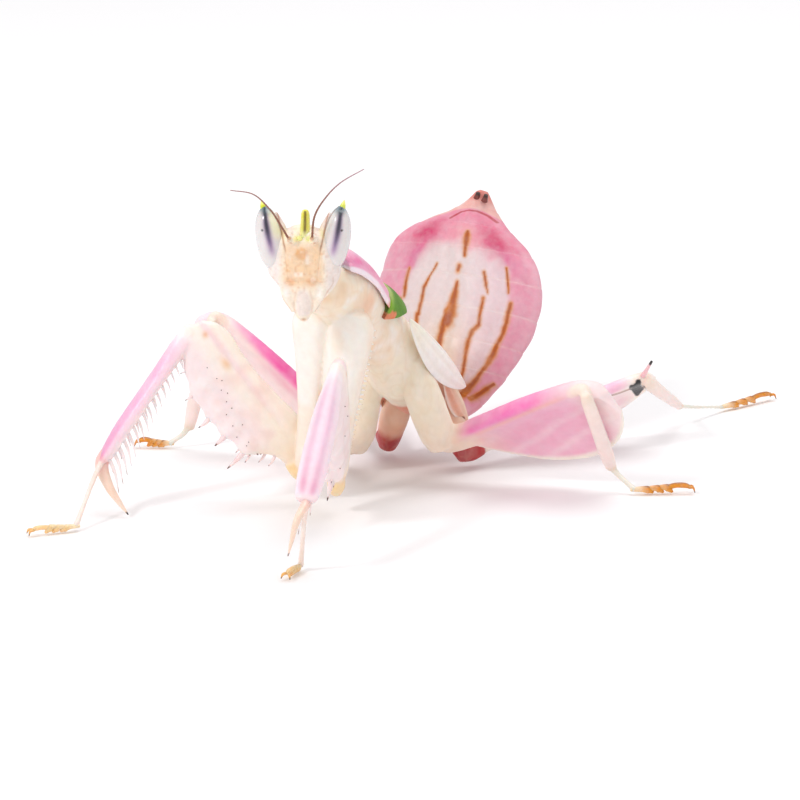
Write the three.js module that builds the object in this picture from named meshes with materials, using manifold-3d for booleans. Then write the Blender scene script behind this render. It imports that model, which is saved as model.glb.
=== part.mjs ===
// Orchid mantis, Hymenopus coronatus: a nearly grown female nymph standing with her head turned, in a
// still pose. Millimetres, +Z up. She faces -Y and her left side is towards +X. The floor is z = 0.
// Each named part of the body is one closed solid, parted from its neighbours by thin cuts.
import * as THREE from 'three';
import { mergeVertices } from 'three/addons/utils/BufferGeometryUtils.js';
import Module from 'manifold-3d';

const wasm = await Module();
wasm.setup();

// ---------------------------------------------------------------- driving dimensions

const GAP = 0.2; // the cut between two neighbouring parts
const FOOT = 0.4; // height of a tarsus' axis above the floor
const SOLE = 0.48; // its reach below that axis, cut flat at the floor
const HEAD_TURN = THREE.MathUtils.degToRad(26); // the head looks towards her left
const MOUTH = [0, -15.5, 15.9]; // lower tip of the face

// Joints of the legs. The root is where the coxa leaves the thorax, and the toe is the end of the claws.
const LEGS = {
  left_fore: {
    root: [1.75, -10.9, 15.4],
    hip: [-0.2, -10.2, 2.0],
    knee: [3.3, -16.9, 12.8],
    ankle: [5.4, -25.7, 6.0],
    heel: [3.8, -23.5, FOOT],
    toe: [3.9, -25.7, FOOT],
  },
  right_fore: {
    root: [-1.75, -10.9, 15.4],
    hip: [-3.7, -8.7, 2.2],
    knee: [-10.9, -11.7, 13.0],
    ankle: [-15.7, -17.4, 4.1],
    heel: [-15.0, -22.4, FOOT],
    toe: [-17.3, -24.7, FOOT],
  },
  left_mid: {
    root: [2.0, -1.4, 8.6],
    hip: [3.5, -0.1, 3.1],
    knee: [15.4, -1.3, 9.0],
    ankle: [15.6, 4.0, 1.75],
    heel: [17.5, 3.9, FOOT],
    toe: [21.2, 6.0, FOOT],
  },
  right_mid: {
    root: [-2.0, -1.4, 8.6],
    hip: [-4.0, 0.4, 2.0],
    knee: [-15.2, -1.0, 11.2],
    ankle: [-18.5, 0.5, 1.5],
    heel: [-19.8, -0.2, FOOT],
    toe: [-22.1, -1.1, FOOT],
  },
  left_hind: {
    root: [1.7, 3.4, 5.4],
    hip: [3.4, 4.7, 1.05],
    knee: [14.0, 14.1, 6.2],
    ankle: [13.3, 23.6, 1.5],
    heel: [14.9, 28.9, FOOT],
    toe: [17.2, 33.9, FOOT],
  },
  right_hind: {
    root: [-1.7, 3.4, 5.4],
    hip: [-3.4, 4.7, 1.05],
    knee: [-14.0, 14.1, 6.2],
    ankle: [-13.3, 23.6, 1.5],
    heel: [-14.9, 28.9, FOOT],
    toe: [-17.2, 33.9, FOOT],
  },
};

// ---------------------------------------------------------------- colours

const IVORY = { color: 0xf3e6d2, roughness: 0.45, metalness: 0 };
const PINK = { color: 0xe9a4c4, roughness: 0.45, metalness: 0 };
const BLUSH = { color: 0xf2cfd9, roughness: 0.45, metalness: 0 };
const OCHRE = { color: 0xc9832f, roughness: 0.5, metalness: 0 };
const PEARL = { color: 0xe4e2ee, roughness: 0.15, metalness: 0 };
const LEAF = { color: 0xa9b04a, roughness: 0.45, metalness: 0 };
const UMBER = { color: 0x6b4534, roughness: 0.5, metalness: 0 };

// ---------------------------------------------------------------- making solids

const SIDES = 10; // points round a limb

const point = (place) => new THREE.Vector3(...place);

// Closes a run of rings, all of one length, into a solid whose faces point out.
function closeRings(rings) {
  const count = rings[0].length;
  const points = rings.flat();
  const faces = [];
  for (let start = 0; start + count < points.length; start += count) {
    for (let i = 0; i < count; i += 1) {
      const a = start + i;
      const b = start + ((i + 1) % count);
      faces.push(a, b, b + count, a, b + count, a + count);
    }
  }
  const last = points.length - count;
  for (const [start, turn] of [[0, 1], [last, -1]]) {
    const middle = new THREE.Vector3();
    for (let i = 0; i < count; i += 1) middle.addScaledVector(points[start + i], 1 / count);
    const centre = points.push(middle) - 1;
    for (let i = 0; i < count; i += 1) {
      const next = start + ((i + 1) % count);
      if (turn > 0) faces.push(centre, next, start + i);
      else faces.push(centre, start + i, next);
    }
  }
  return outward(points, faces);
}

// A plate between an outer and an inner grid of points, closed round its four edges.
function closeGrids(outer, inner) {
  const across = outer[0].length;
  const rows = outer.length;
  const points = [...outer.flat(), ...inner.flat()];
  const under = across * rows;
  const faces = [];
  const quad = (a, b, c, d) => faces.push(a, b, c, a, c, d);
  for (let r = 0; r + 1 < rows; r += 1) {
    for (let i = 0; i + 1 < across; i += 1) {
      const a = r * across + i;
      quad(a, a + 1, a + across + 1, a + across);
      quad(under + a, under + a + across, under + a + across + 1, under + a + 1);
    }
    const left = r * across;
    const right = left + across - 1;
    quad(left, left + across, under + left + across, under + left);
    quad(right, under + right, under + right + across, right + across);
  }
  for (let i = 0; i + 1 < across; i += 1) {
    const end = (rows - 1) * across + i;
    quad(i, under + i, under + i + 1, i + 1);
    quad(end, end + 1, under + end + 1, under + end);
  }
  return outward(points, faces);
}

// An indexed geometry, turned inside out where its volume would be negative.
function outward(points, faces) {
  let volume = 0;
  for (let i = 0; i < faces.length; i += 3) {
    const [a, b, c] = [points[faces[i]], points[faces[i + 1]], points[faces[i + 2]]];
    volume += a.dot(new THREE.Vector3().crossVectors(b, c));
  }
  const geometry = new THREE.BufferGeometry().setFromPoints(points);
  geometry.setIndex(volume < 0 ? faces.toReversed() : faces);
  return geometry;
}

// A ring of points in the plane of two unit vectors. Its lower half may reach further than its upper.
function ring(centre, across, rise, [wide, above, below], { sides, edge }) {
  return Array.from({ length: sides }, (_, i) => {
    const angle = (2 * Math.PI * (i + 0.5)) / sides;
    const side = Math.sin(angle);
    const top = Math.cos(angle);
    return centre
      .clone()
      .addScaledVector(across, wide * Math.sign(side) * Math.abs(side) ** edge)
      .addScaledVector(rise, top * (top > 0 ? above : below));
  });
}

// A limb through stations of [place, half width, reach above, reach below]. Sizes and places run
// smoothly from one station to the next. grow makes the same limb fatter, to cut room for it.
function loft(stations, upward, options = {}) {
  const { sides = SIDES, edge = 1, between = 0, grow = 0 } = options;
  const smooth = (list) => new THREE.CatmullRomCurve3(list, false, 'catmullrom', 0.5);
  const places = smooth(stations.map(([place]) => point(place)));
  const sizes = smooth(stations.map(([, wide, above, below = above]) => point([wide, above, below])));
  const steps = (stations.length - 1) * (between + 1);
  const rings = [];
  for (let step = 0; step <= steps; step += 1) {
    const at = step / steps;
    const centre = places.getPoint(at);
    const along = places.getTangent(at);
    const across = new THREE.Vector3().crossVectors(along, point(upward)).normalize();
    const rise = new THREE.Vector3().crossVectors(across, along).normalize();
    const size = sizes.getPoint(at).addScalar(grow).toArray();
    if (step === 0) centre.addScaledVector(along, -grow);
    if (step === steps) centre.addScaledVector(along, grow);
    rings.push(ring(centre, across, rise, size, { sides, edge }));
  }
  return closeRings(rings);
}

function solidOf(geometry) {
  const bare = geometry.clone();
  bare.deleteAttribute('normal');
  bare.deleteAttribute('uv');
  const merged = mergeVertices(bare, 1e-4);
  return new wasm.Manifold(
    new wasm.Mesh({
      numProp: 3,
      vertProperties: merged.attributes.position.array,
      triVerts: new Uint32Array(merged.index.array),
    }),
  );
}

function geometryOf(solid) {
  const mesh = solid.getMesh();
  const geometry = new THREE.BufferGeometry();
  geometry.setAttribute('position', new THREE.BufferAttribute(new Float32Array(mesh.vertProperties), 3));
  geometry.setIndex(new THREE.BufferAttribute(new Uint32Array(mesh.triVerts), 1));
  return geometry;
}

function cutAway(geometry, ...cutters) {
  return geometryOf(cutters.reduce((solid, cutter) => solid.subtract(solidOf(cutter)), solidOf(geometry)));
}

function joined(geometry, ...others) {
  return geometryOf(others.reduce((solid, other) => solid.add(solidOf(other)), solidOf(geometry)));
}

// A spine: a slim four-sided point on a limb.
function spine(root, tip, radius) {
  const along = tip.clone().sub(root).normalize();
  const aside = Math.abs(along.z) > 0.9 ? [1, 0, 0] : [0, 0, 1];
  const stations = [
    [root.toArray(), radius, radius],
    [tip.toArray(), radius * 0.3, radius * 0.3],
  ];
  return loft(stations, aside, { sides: 4 });
}

const group = new THREE.Group();

function piece(name, geometry, look, parent = group) {
  geometry.computeVertexNormals();
  const mesh = new THREE.Mesh(geometry, new THREE.MeshStandardMaterial({ ...look, flatShading: true }));
  mesh.name = name;
  parent.add(mesh);
  return mesh;
}

// ---------------------------------------------------------------- head, in its own turned group

const headGroup = new THREE.Group();
headGroup.position.set(...MOUTH);
headGroup.rotation.z = HEAD_TURN;
group.add(headGroup);

const FRONT = [0, -1, 0];

// Stations up the face from the clypeus to the crown: half width, reach forwards, reach backwards.
const FACE = [
  [[0, -0.2, 1.35], 1.22, 0.75, 0.8],
  [[0, -0.15, 2.5], 1.95, 1.0, 1.1],
  [[0, -0.1, 3.7], 2.5, 1.15, 1.4],
  [[0, 0, 4.8], 2.65, 1.2, 1.5],
  [[0, 0.05, 5.7], 2.35, 1.05, 1.45],
  [[0, 0.1, 6.3], 1.7, 0.8, 1.2],
  [[0, 0.1, 6.65], 0.9, 0.4, 0.7],
];

// Stations up an eye, for her left eye: tall, leaning outwards, and blunt at the top.
const EYE = [
  [[2.02, 0, 3.8], 0.2, 0.25],
  [[2.1, -0.05, 4.3], 0.6, 0.66],
  [[2.24, -0.05, 5.1], 0.9, 0.95],
  [[2.39, -0.05, 6.1], 1.03, 1.06],
  [[2.55, -0.05, 7.1], 0.94, 0.98],
  [[2.65, 0, 7.8], 0.64, 0.68],
  [[2.7, 0, 8.15], 0.3, 0.32],
];

const mirrored = (stations) => stations.map(([[x, y, z], ...size]) => [[-x, y, z], ...size]);
const EYES = { left_eye: EYE, right_eye: mirrored(EYE) };
const sockets = Object.values(EYES).map((stations) => loft(stations, FRONT, { sides: 12, grow: GAP }));
const headRoom = loft(FACE, FRONT, { sides: 12, between: 1, grow: GAP });

piece('head', cutAway(loft(FACE, FRONT, { sides: 12, between: 1 }), ...sockets), IVORY, headGroup);
for (const [name, stations] of Object.entries(EYES)) {
  piece(name, loft(stations, FRONT, { sides: 12 }), PEARL, headGroup);
}

const MOUTHPARTS = [
  [[0, -0.1, -0.1], 0.35, 0.35],
  [[0, -0.2, 0.35], 0.65, 0.55],
  [[0, -0.2, 1.15], 1.12, 0.7],
];
piece('mouthparts', loft(MOUTHPARTS, FRONT, { between: 1 }), IVORY, headGroup);

const HORN = [
  [[0, -0.55, 5.8], 0.42, 0.35],
  [[0, -0.6, 6.9], 0.36, 0.32],
  [[0, -0.6, 7.7], 0.3, 0.28],
  [[0, -0.55, 8.05], 0.12, 0.12],
];
piece('ocellar_horn', cutAway(loft(HORN, FRONT, { sides: 8 }), headRoom), LEAF, headGroup);

const FEELER = 0.25; // half thickness of an antenna
const ANTENNAE = {
  right_antenna: [
    [-0.8, -1.5, 5.95],
    [-1.5, -1.75, 6.6],
    [-2.2, -1.7, 7.9],
    [-3.2, -1.6, 9.1],
    [-5.0, -1.4, 9.5],
  ],
  left_antenna: [
    [0.65, -1.5, 6.1],
    [0.85, -1.7, 7.7],
    [1.6, -1.7, 9.0],
    [2.7, -1.6, 10.1],
    [4.3, -1.4, 11.0],
  ],
};
for (const [name, places] of Object.entries(ANTENNAE)) {
  const stations = places.map((place) => [place, FEELER, FEELER]);
  piece(name, loft(stations, FRONT, { sides: 6, between: 1 }), UMBER, headGroup);
}

headGroup.updateMatrixWorld(true);
const headShadow = headRoom.clone().applyMatrix4(headGroup.matrixWorld);

// ---------------------------------------------------------------- thorax

const UP = [0, 0, 1];

const NECK = [
  [[-0.6, -14.6, 20.0], 0.8, 0.9],
  [[-0.2, -13.6, 19.4], 0.85, 0.95],
  [[0, -12.95, 18.75], 1.0, 1.05],
];
piece('neck', cutAway(loft(NECK, UP), headShadow), IVORY);

// The prothorax slopes down from the neck. Its shield stands off it by the cut.
const PROTHORAX = [
  [[0, -12.75, 18.35], 1.25, 1.2, 1.6],
  [[0, -11.6, 17.8], 2.15, 2.0, 2.5],
  [[0, -9.4, 16.8], 2.3, 2.15, 3.0],
  [[0, -5.65, 14.3], 1.6, 1.6, 2.9],
  [[0, -2.6, 12.0], 1.8, 1.75, 2.9],
];
piece('prothorax', loft(PROTHORAX, UP, { sides: 12, between: 1 }), IVORY);
const prothoraxRoom = loft(PROTHORAX, UP, { sides: 12, between: 1, grow: GAP });

// Stations of a plate bent over the back: place on the trunk's axis, half width, height over the axis.
const SHIELD = [
  [[0, -12.35, 18.3], 2.15, 2.3],
  [[0, -11.4, 17.8], 2.85, 2.9],
  [[0, -9.4, 16.8], 2.95, 2.95],
  [[0, -7.7, 15.75], 2.55, 2.6],
  [[0, -6.3, 14.8], 2.35, 2.35],
];
const SADDLE = [
  [[0, -6.0, 14.55], 2.45, 2.45],
  [[0, -5.0, 13.85], 2.5, 2.55],
  [[0, -3.9, 13.05], 2.5, 2.5],
];
const PLATE_THICKNESS = 0.5;
const PLATE_SPAN = THREE.MathUtils.degToRad(78); // from the ridge to either edge
const PLATE_STEPS = 6; // from edge to edge

function plateGrid(stations, inset) {
  const places = new THREE.CatmullRomCurve3(stations.map(([place]) => point(place)));
  const sizes = new THREE.CatmullRomCurve3(stations.map(([, wide, high]) => point([wide, high, 0])));
  const steps = 2 * (stations.length - 1);
  const rows = [];
  for (let step = 0; step <= steps; step += 1) {
    const centre = places.getPoint(step / steps);
    const tangent = places.getTangent(step / steps);
    const rise = new THREE.Vector3(0, -tangent.z, tangent.y).normalize();
    const size = sizes.getPoint(step / steps);
    const row = [];
    for (let i = 0; i <= PLATE_STEPS; i += 1) {
      const angle = PLATE_SPAN * ((2 * i) / PLATE_STEPS - 1);
      const place = centre.clone().addScaledVector(rise, (size.y - inset) * Math.cos(angle));
      row.push(place.addScaledVector(new THREE.Vector3(1, 0, 0), (size.x - inset) * Math.sin(angle)));
    }
    rows.push(row);
  }
  return rows;
}

const plate = (stations) => closeGrids(plateGrid(stations, 0), plateGrid(stations, PLATE_THICKNESS));
piece('pronotum', plate(SHIELD), PINK);

// The trunk behind the prothorax, in stations of place on the axis, half width, reach above and below.
const MESOTHORAX = [
  [[0, -2.35, 11.75], 1.9, 1.6, 2.9],
  [[0, -1.2, 10.8], 2.35, 2.0, 3.4],
  [[0, 0.3, 9.5], 2.5, 2.0, 3.5],
  [[0, 1.7, 8.2], 2.4, 1.9, 3.1],
];
piece('mesothorax', cutAway(loft(MESOTHORAX, UP, { sides: 12, between: 1 }), prothoraxRoom), IVORY);
const mesothoraxRoom = loft(MESOTHORAX, UP, { sides: 12, between: 1, grow: GAP });

const METATHORAX = [
  [[0, 1.9, 8.0], 2.35, 1.85, 3.0],
  [[0, 3.3, 6.8], 2.3, 1.7, 2.7],
  [[0, 4.7, 5.6], 2.1, 1.5, 2.0],
];
piece('metathorax', cutAway(loft(METATHORAX, UP, { sides: 12, between: 1 }), mesothoraxRoom), IVORY);
const metathoraxRoom = loft(METATHORAX, UP, { sides: 12, between: 1, grow: GAP });
const trunkRooms = [prothoraxRoom, mesothoraxRoom, metathoraxRoom];
piece('mesonotum', cutAway(plate(SADDLE), ...trunkRooms), LEAF);

// ---------------------------------------------------------------- wing pads

// A pad is a thin leaf from its hinge to its tip. It reaches further to the belly's side than to the
// back's, and is bowed outwards along its middle.
const PAD_THICKNESS = 0.5;
const PAD_END = 0.1; // breadth of its ends, as a share of its greatest
const PAD_ROWS = 7;
const PAD_STEPS = 4;

function padGeometry({ hinge, tip, reach, bow, aside }) {
  const start = point(hinge);
  const length = point(tip).sub(start);
  const side = Math.sign(hinge[0]);
  const cross = new THREE.Vector3().crossVectors(point(aside), length).normalize().multiplyScalar(side);
  const face = new THREE.Vector3().crossVectors(length, cross).normalize().multiplyScalar(side);
  const outer = [];
  const inner = [];
  for (let r = 0; r <= PAD_ROWS; r += 1) {
    const at = r / PAD_ROWS;
    const bulk = Math.sin(Math.PI * at) ** 0.8;
    const middle = start.clone().addScaledVector(length, at);
    const places = Array.from({ length: PAD_STEPS + 1 }, (_, i) => {
      const share = (2 * i) / PAD_STEPS - 1;
      const across = share * (share > 0 ? reach[0] : reach[1]) * (PAD_END + (1 - PAD_END) * bulk);
      return middle
        .clone()
        .addScaledVector(cross, across)
        .addScaledVector(face, bow * bulk * (1 - share * share));
    });
    outer.push(places);
    inner.push(places.map((place) => place.clone().addScaledVector(face, -PAD_THICKNESS)));
  }
  return closeGrids(outer, inner);
}

// Reach towards the back and towards the belly, the bow, and a direction that its face is turned to.
const PADS = {
  forewing_pad: {
    hinge: [2.6, -3.0, 13.35],
    tip: [4.2, 3.3, 7.0],
    reach: [0.62, 1.85],
    bow: 0.35,
    aside: [0.8, -0.35, 0.45],
  },
  hindwing_pad: {
    hinge: [3.1, 1.9, 8.2],
    tip: [3.85, 5.5, 4.3],
    reach: [0.5, 1.15],
    bow: 0.25,
    aside: [0.9, -0.25, 0.3],
  },
};
const flip = ([x, y, z]) => [-x, y, z];
for (const [name, pad] of Object.entries(PADS)) {
  const other = { ...pad, hinge: flip(pad.hinge), tip: flip(pad.tip), aside: flip(pad.aside) };
  piece(`left_${name}`, cutAway(padGeometry(pad), ...trunkRooms), IVORY);
  piece(`right_${name}`, cutAway(padGeometry(other), ...trunkRooms), IVORY);
}

// ---------------------------------------------------------------- abdomen

// The flat abdomen curls up like a leaf. Stations: place on its middle line, half width, half thickness.
const ABDOMEN = [
  [[0, 5.1, 4.6], 2.3, 1.1],
  [[-0.1, 6.6, 4.85], 3.43, 1.2],
  [[-0.3, 7.8, 6.4], 4.88, 1.45],
  [[-0.4, 8.7, 8.0], 5.89, 1.7],
  [[-0.48, 9.8, 9.8], 6.66, 1.7],
  [[-0.6, 11.1, 11.9], 6.91, 1.6],
  [[-0.85, 12.2, 13.9], 6.52, 1.45],
  [[-1.28, 13.1, 15.6], 5.53, 1.25],
  [[-1.25, 13.9, 17.0], 3.53, 0.95],
  [[-0.65, 14.5, 18.1], 1.61, 0.7],
  [[-0.34, 15.04, 19.4], 0.32, 0.4],
];
const ABDOMEN_SWEEP = 0.6; // how far its edges lie behind its middle
const SEGMENTS = 9;
const ABDOMEN_SIDES = 14;

function abdomenRing(at) {
  const places = new THREE.CatmullRomCurve3(ABDOMEN.map(([place]) => point(place)));
  const sizes = new THREE.CatmullRomCurve3(ABDOMEN.map(([, wide, thick]) => point([wide, thick, 0])));
  const centre = places.getPoint(at);
  const along = places.getTangent(at);
  const back = new THREE.Vector3(0, along.z, -along.y).normalize();
  const size = sizes.getPoint(at);
  return Array.from({ length: ABDOMEN_SIDES }, (_, i) => {
    const angle = (2 * Math.PI * (i + 0.5)) / ABDOMEN_SIDES;
    const side = Math.cos(angle);
    return centre
      .clone()
      .addScaledVector(new THREE.Vector3(1, 0, 0), size.x * side)
      .addScaledVector(back, size.y * Math.sin(angle) + ABDOMEN_SWEEP * side * side);
  });
}

const abdomenLength = new THREE.CatmullRomCurve3(ABDOMEN.map(([place]) => point(place))).getLength();
const cutShare = GAP / abdomenLength / 2;
for (let s = 0; s < SEGMENTS; s += 1) {
  const from = s / SEGMENTS + cutShare;
  const to = (s + 1) / SEGMENTS - cutShare;
  const rings = [0, 0.5, 1].map((share) => abdomenRing(from + (to - from) * share));
  const segment = closeRings(rings);
  piece(`abdomen_${s + 1}`, s === 0 ? cutAway(segment, metathoraxRoom) : segment, s % 2 ? BLUSH : PINK);
}

// The cerci are two short dark knobs before the tip. Half thickness at each of their two ends.
const CERCI = {
  left_cercus: [[0.3, 13.9, 18.7], [0.5, 13.85, 19.3]],
  right_cercus: [[-0.5, 13.9, 18.8], [-0.25, 13.85, 19.4]],
};
const CERCUS_RADII = [0.27, 0.18];
for (const [name, ends] of Object.entries(CERCI)) {
  const stations = ends.map((place, i) => [place, CERCUS_RADII[i], CERCUS_RADII[i]]);
  piece(name, loft(stations, FRONT, { sides: 6 }), UMBER);
}

// ---------------------------------------------------------------- legs

// The plane in which a leg bends: along the femur, towards the tibia's side, and the normal that
// points forwards.
function legFrame({ hip, knee, ankle }) {
  const along = point(knee).sub(point(hip)).normalize();
  const shin = point(ankle).sub(point(knee)).normalize();
  const inner = shin.clone().addScaledVector(along, -shin.dot(along)).normalize();
  const front = new THREE.Vector3().crossVectors(along, inner).normalize();
  if (front.y > 0) front.negate();
  return { along, shin, inner, front };
}

// Stations along the line between two places, from rows of [share, half width, above, below]. A bow
// bends the line sideways by that much at its middle.
function along(from, to, rows, bow = 0) {
  return rows.map(([share, ...size]) => {
    const place = point(from).lerp(point(to), share);
    place.x += bow * 4 * share * (1 - share);
    return [place.toArray(), ...size];
  });
}

const COXA_ROWS = {
  fore: [
    [0, 1.1, 0.8],
    [0.08, 1.55, 1.2],
    [0.3, 1.4, 1.2],
    [0.6, 1.05, 1.0],
    [0.88, 0.85, 0.85],
    [0.96, 0.6, 0.6],
  ],
  mid: [
    [-0.02, 1.0, 0.8],
    [0.15, 1.4, 1.25],
    [0.5, 1.4, 1.3],
    [0.8, 1.15, 1.15],
    [1.0, 0.65, 0.65],
  ],
  hind: [
    [0.0, 0.9, 0.8],
    [0.3, 1.2, 1.15],
    [0.75, 1.0, 1.0],
    [1.0, 0.7, 0.7],
  ],
};
const TROCHANTER_LENGTH = 1.25;
const COXA_BOW = 0.45; // the fore coxae bend towards each other

// Rows of a fore femur: share of its length, half thickness, reach of its back and of its spiny edge.
const FORE_FEMUR = [
  [0.11, 0.55, 1.0, 0.6],
  [0.18, 0.8, 2.1, 0.9],
  [0.28, 0.95, 2.35, 2.0],
  [0.42, 0.95, 2.05, 2.7],
  [0.58, 0.9, 1.8, 3.05],
  [0.72, 0.85, 1.75, 3.0],
  [0.86, 0.75, 1.9, 2.3],
  [0.96, 0.65, 1.7, 1.7],
  [1.01, 0.45, 1.1, 1.1],
];
// Its spines: length along the femur, depth at the root, length and depth of the tip, side.
const FEMUR_SPINES = [
  [10.6, 2.0, 11.3, 3.0, 0.35],
  [9.0, 2.8, 9.5, 4.0, 0.35],
  [7.4, 2.8, 7.6, 4.3, 0.35],
  [5.9, 2.4, 5.7, 3.9, 0.35],
  [4.3, 1.9, 3.6, 4.2, -0.1],
  [3.9, 1.7, 3.3, 3.1, -0.35],
  [4.9, 2.2, 4.5, 3.4, -0.35],
];
// Rows of a fore tibia: share of its length, half thickness, reach of its back and of its spiny edge.
const FORE_TIBIA = [
  [0.02, 0.5, 0.9, 0.45],
  [0.14, 0.65, 0.95, 0.45],
  [0.4, 0.95, 0.8, 0.4],
  [0.75, 1.02, 0.68, 0.5],
  [0.92, 0.9, 0.45, 0.6],
  [0.98, 0.6, 0.3, 0.5],
];
const TIBIA_SPINES = 11;
// The claw's bend and tip: beyond the tibia's end, towards its inner side, and towards the front.
const CLAWS = {
  left_fore: [[1.9, 0.1, 0.2], [3.34, 2.18, 0.63]],
  right_fore: [[1.29, 2.04, 0.33], [2.12, 3.85, 1.0]],
};

// A walking femur is a stout rod along its back edge with a petal that hangs from it. Rows: place of
// the back edge, place of the petal's rim, both as share of the length and depth towards the tibia.
const PETAL = [
  [0.1, -0.45, 0.1, 0.8],
  [0.18, -0.7, 0.16, 2.1],
  [0.37, -0.8, 0.32, 4.2],
  [0.6, -0.8, 0.49, 6.1],
  [0.82, -0.7, 0.68, 7.0],
  [0.95, -0.45, 0.86, 6.5],
  [1.03, 0.2, 0.98, 5.3],
  [1.08, 1.4, 1.055, 3.8],
];
const PETAL_THICKNESS = 0.5;
const PETAL_LEAST_DEPTH = 0.75; // the rim's least depth, which keeps the rod closed near the hip
const ROD_DEPTH = 1.5; // depth over which the rod thins to the petal
const ROD_ROUNDING = 0.7; // depth over which the back edge is rounded
const LEAST_ROUND = 0.4; // thickness left at the back edge, as a share
const TOP_HALF = 0.25; // half thickness of the back edge itself
const RIM_SHARE = 0.5; // thickness of the rim itself, as a share of the petal's
const RIM_PLACES = [0, 0.06, 0.16, 0.3, 0.6, 0.95, 1];
const TIBIA_SETFORTH = 0.45; // how far the tibia's upper end lies before the knee
// Middle and hind legs: the petal's depth as a share, the rod's thickness, how far both lie behind the
// knee's middle, and a spine at the knee in length past it and depth towards the tibia.
const MID_FORM = { coxa: COXA_ROWS.mid, depth: 1, rod: 1.5, setback: 0.6, spines: [] };
const HIND_FORM = {
  coxa: COXA_ROWS.hind,
  depth: 0.72,
  rod: 1.1,
  setback: 0.2,
  spines: [[[-0.9, 0.1], [0.4, -2.6]]],
};

function petalFemur({ hip, knee }, frame, { depth, rod, setback, grow = 0 }) {
  const span = point(hip).distanceTo(point(knee));
  const base = point(hip).addScaledVector(frame.front, -setback);
  const spot = (share, deep) =>
    base.clone().addScaledVector(frame.along, share * span).addScaledVector(frame.inner, deep);
  const rings = PETAL.map(([topShare, topDepth, lowShare, lowDepth]) => {
    const top = spot(topShare, topDepth - grow);
    const low = spot(lowShare, Math.max(PETAL_LEAST_DEPTH, lowDepth * depth) + grow);
    const reach = top.distanceTo(low);
    const profile = RIM_PLACES.map((share) => {
      const fade = Math.exp(-(((share * reach) / ROD_DEPTH) ** 2));
      const body = PETAL_THICKNESS + (rod - PETAL_THICKNESS) * fade;
      const round = Math.sqrt(Math.max(0, 1 - Math.max(0, 1 - (share * reach) / ROD_ROUNDING) ** 2));
      const rim = share === 1 ? RIM_SHARE : 1;
      const half = share === 0 ? TOP_HALF : (body / 2) * Math.max(round, LEAST_ROUND) * rim;
      return [top.clone().lerp(low, share), half + grow];
    });
    const front = profile.map(([place, half]) => place.clone().addScaledVector(frame.front, half));
    const rear = profile.map(([place, half]) => place.clone().addScaledVector(frame.front, -half));
    return [...front, ...rear.toReversed()];
  });
  return closeRings(rings);
}

const TIBIA_ROWS = [
  [0.02, 0.6, 0.55],
  [0.12, 0.85, 0.65],
  [0.45, 0.65, 0.55],
  [0.8, 0.55, 0.5],
  [0.97, 0.4, 0.38],
];

// A tarsus comes down from the ankle to the heel, then lies along the floor to its claws. Rows of its
// shank from ankle to heel and of its foot from heel to toe: share, half width, reach above and below.
const BASITARSUS_ROWS = [
  [0.02, 0.28, 0.28, 0.28],
  [0.6, 0.26, 0.26, 0.26],
];
const FOOT_ROWS = [
  [0, 0.36, FOOT, SOLE],
  [0.35, 0.42, FOOT, SOLE],
  [0.75, 0.4, FOOT, SOLE],
  [1, 0.26, 0.3, SOLE],
];

// The limb before a tarsus is cut out of its upper end.
function tarsus({ ankle, heel, toe }, ...rooms) {
  const stations = [...along(ankle, heel, BASITARSUS_ROWS), ...along(heel, toe, FOOT_ROWS)];
  const geometry = loft(stations, UP, { sides: 8, edge: 0.7 });
  const positions = geometry.attributes.position;
  for (let i = 0; i < positions.count; i += 1) positions.setZ(i, Math.max(0, positions.getZ(i)));
  return cutAway(geometry, ...rooms);
}

const TROCHANTER_ROWS = [
  [0.0, 0.55, 0.6],
  [0.45, 0.7, 0.8],
  [0.85, 0.55, 0.6],
];

const SPINE_RADIUS = 0.26;
const COMB_RADIUS = 0.2;
// The comb's first and last share of the tibia, its shortest spine and how much longer the last one is,
// the depth of their roots, and how much they lean towards the ankle.
const COMB = { from: 0.24, to: 0.9, shortest: 0.7, growth: 1.3, root: 0.3, lean: 0.6 };
const CLAW_ROOT = 0.94; // share of the tibia at which the claw is rooted
const CLAW_SIZES = [
  [0.42, 0.5],
  [0.36, 0.4],
  [0.12, 0.14],
];
const CLAW_CLEARANCE = 0.3; // least height of the claw's tip

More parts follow.
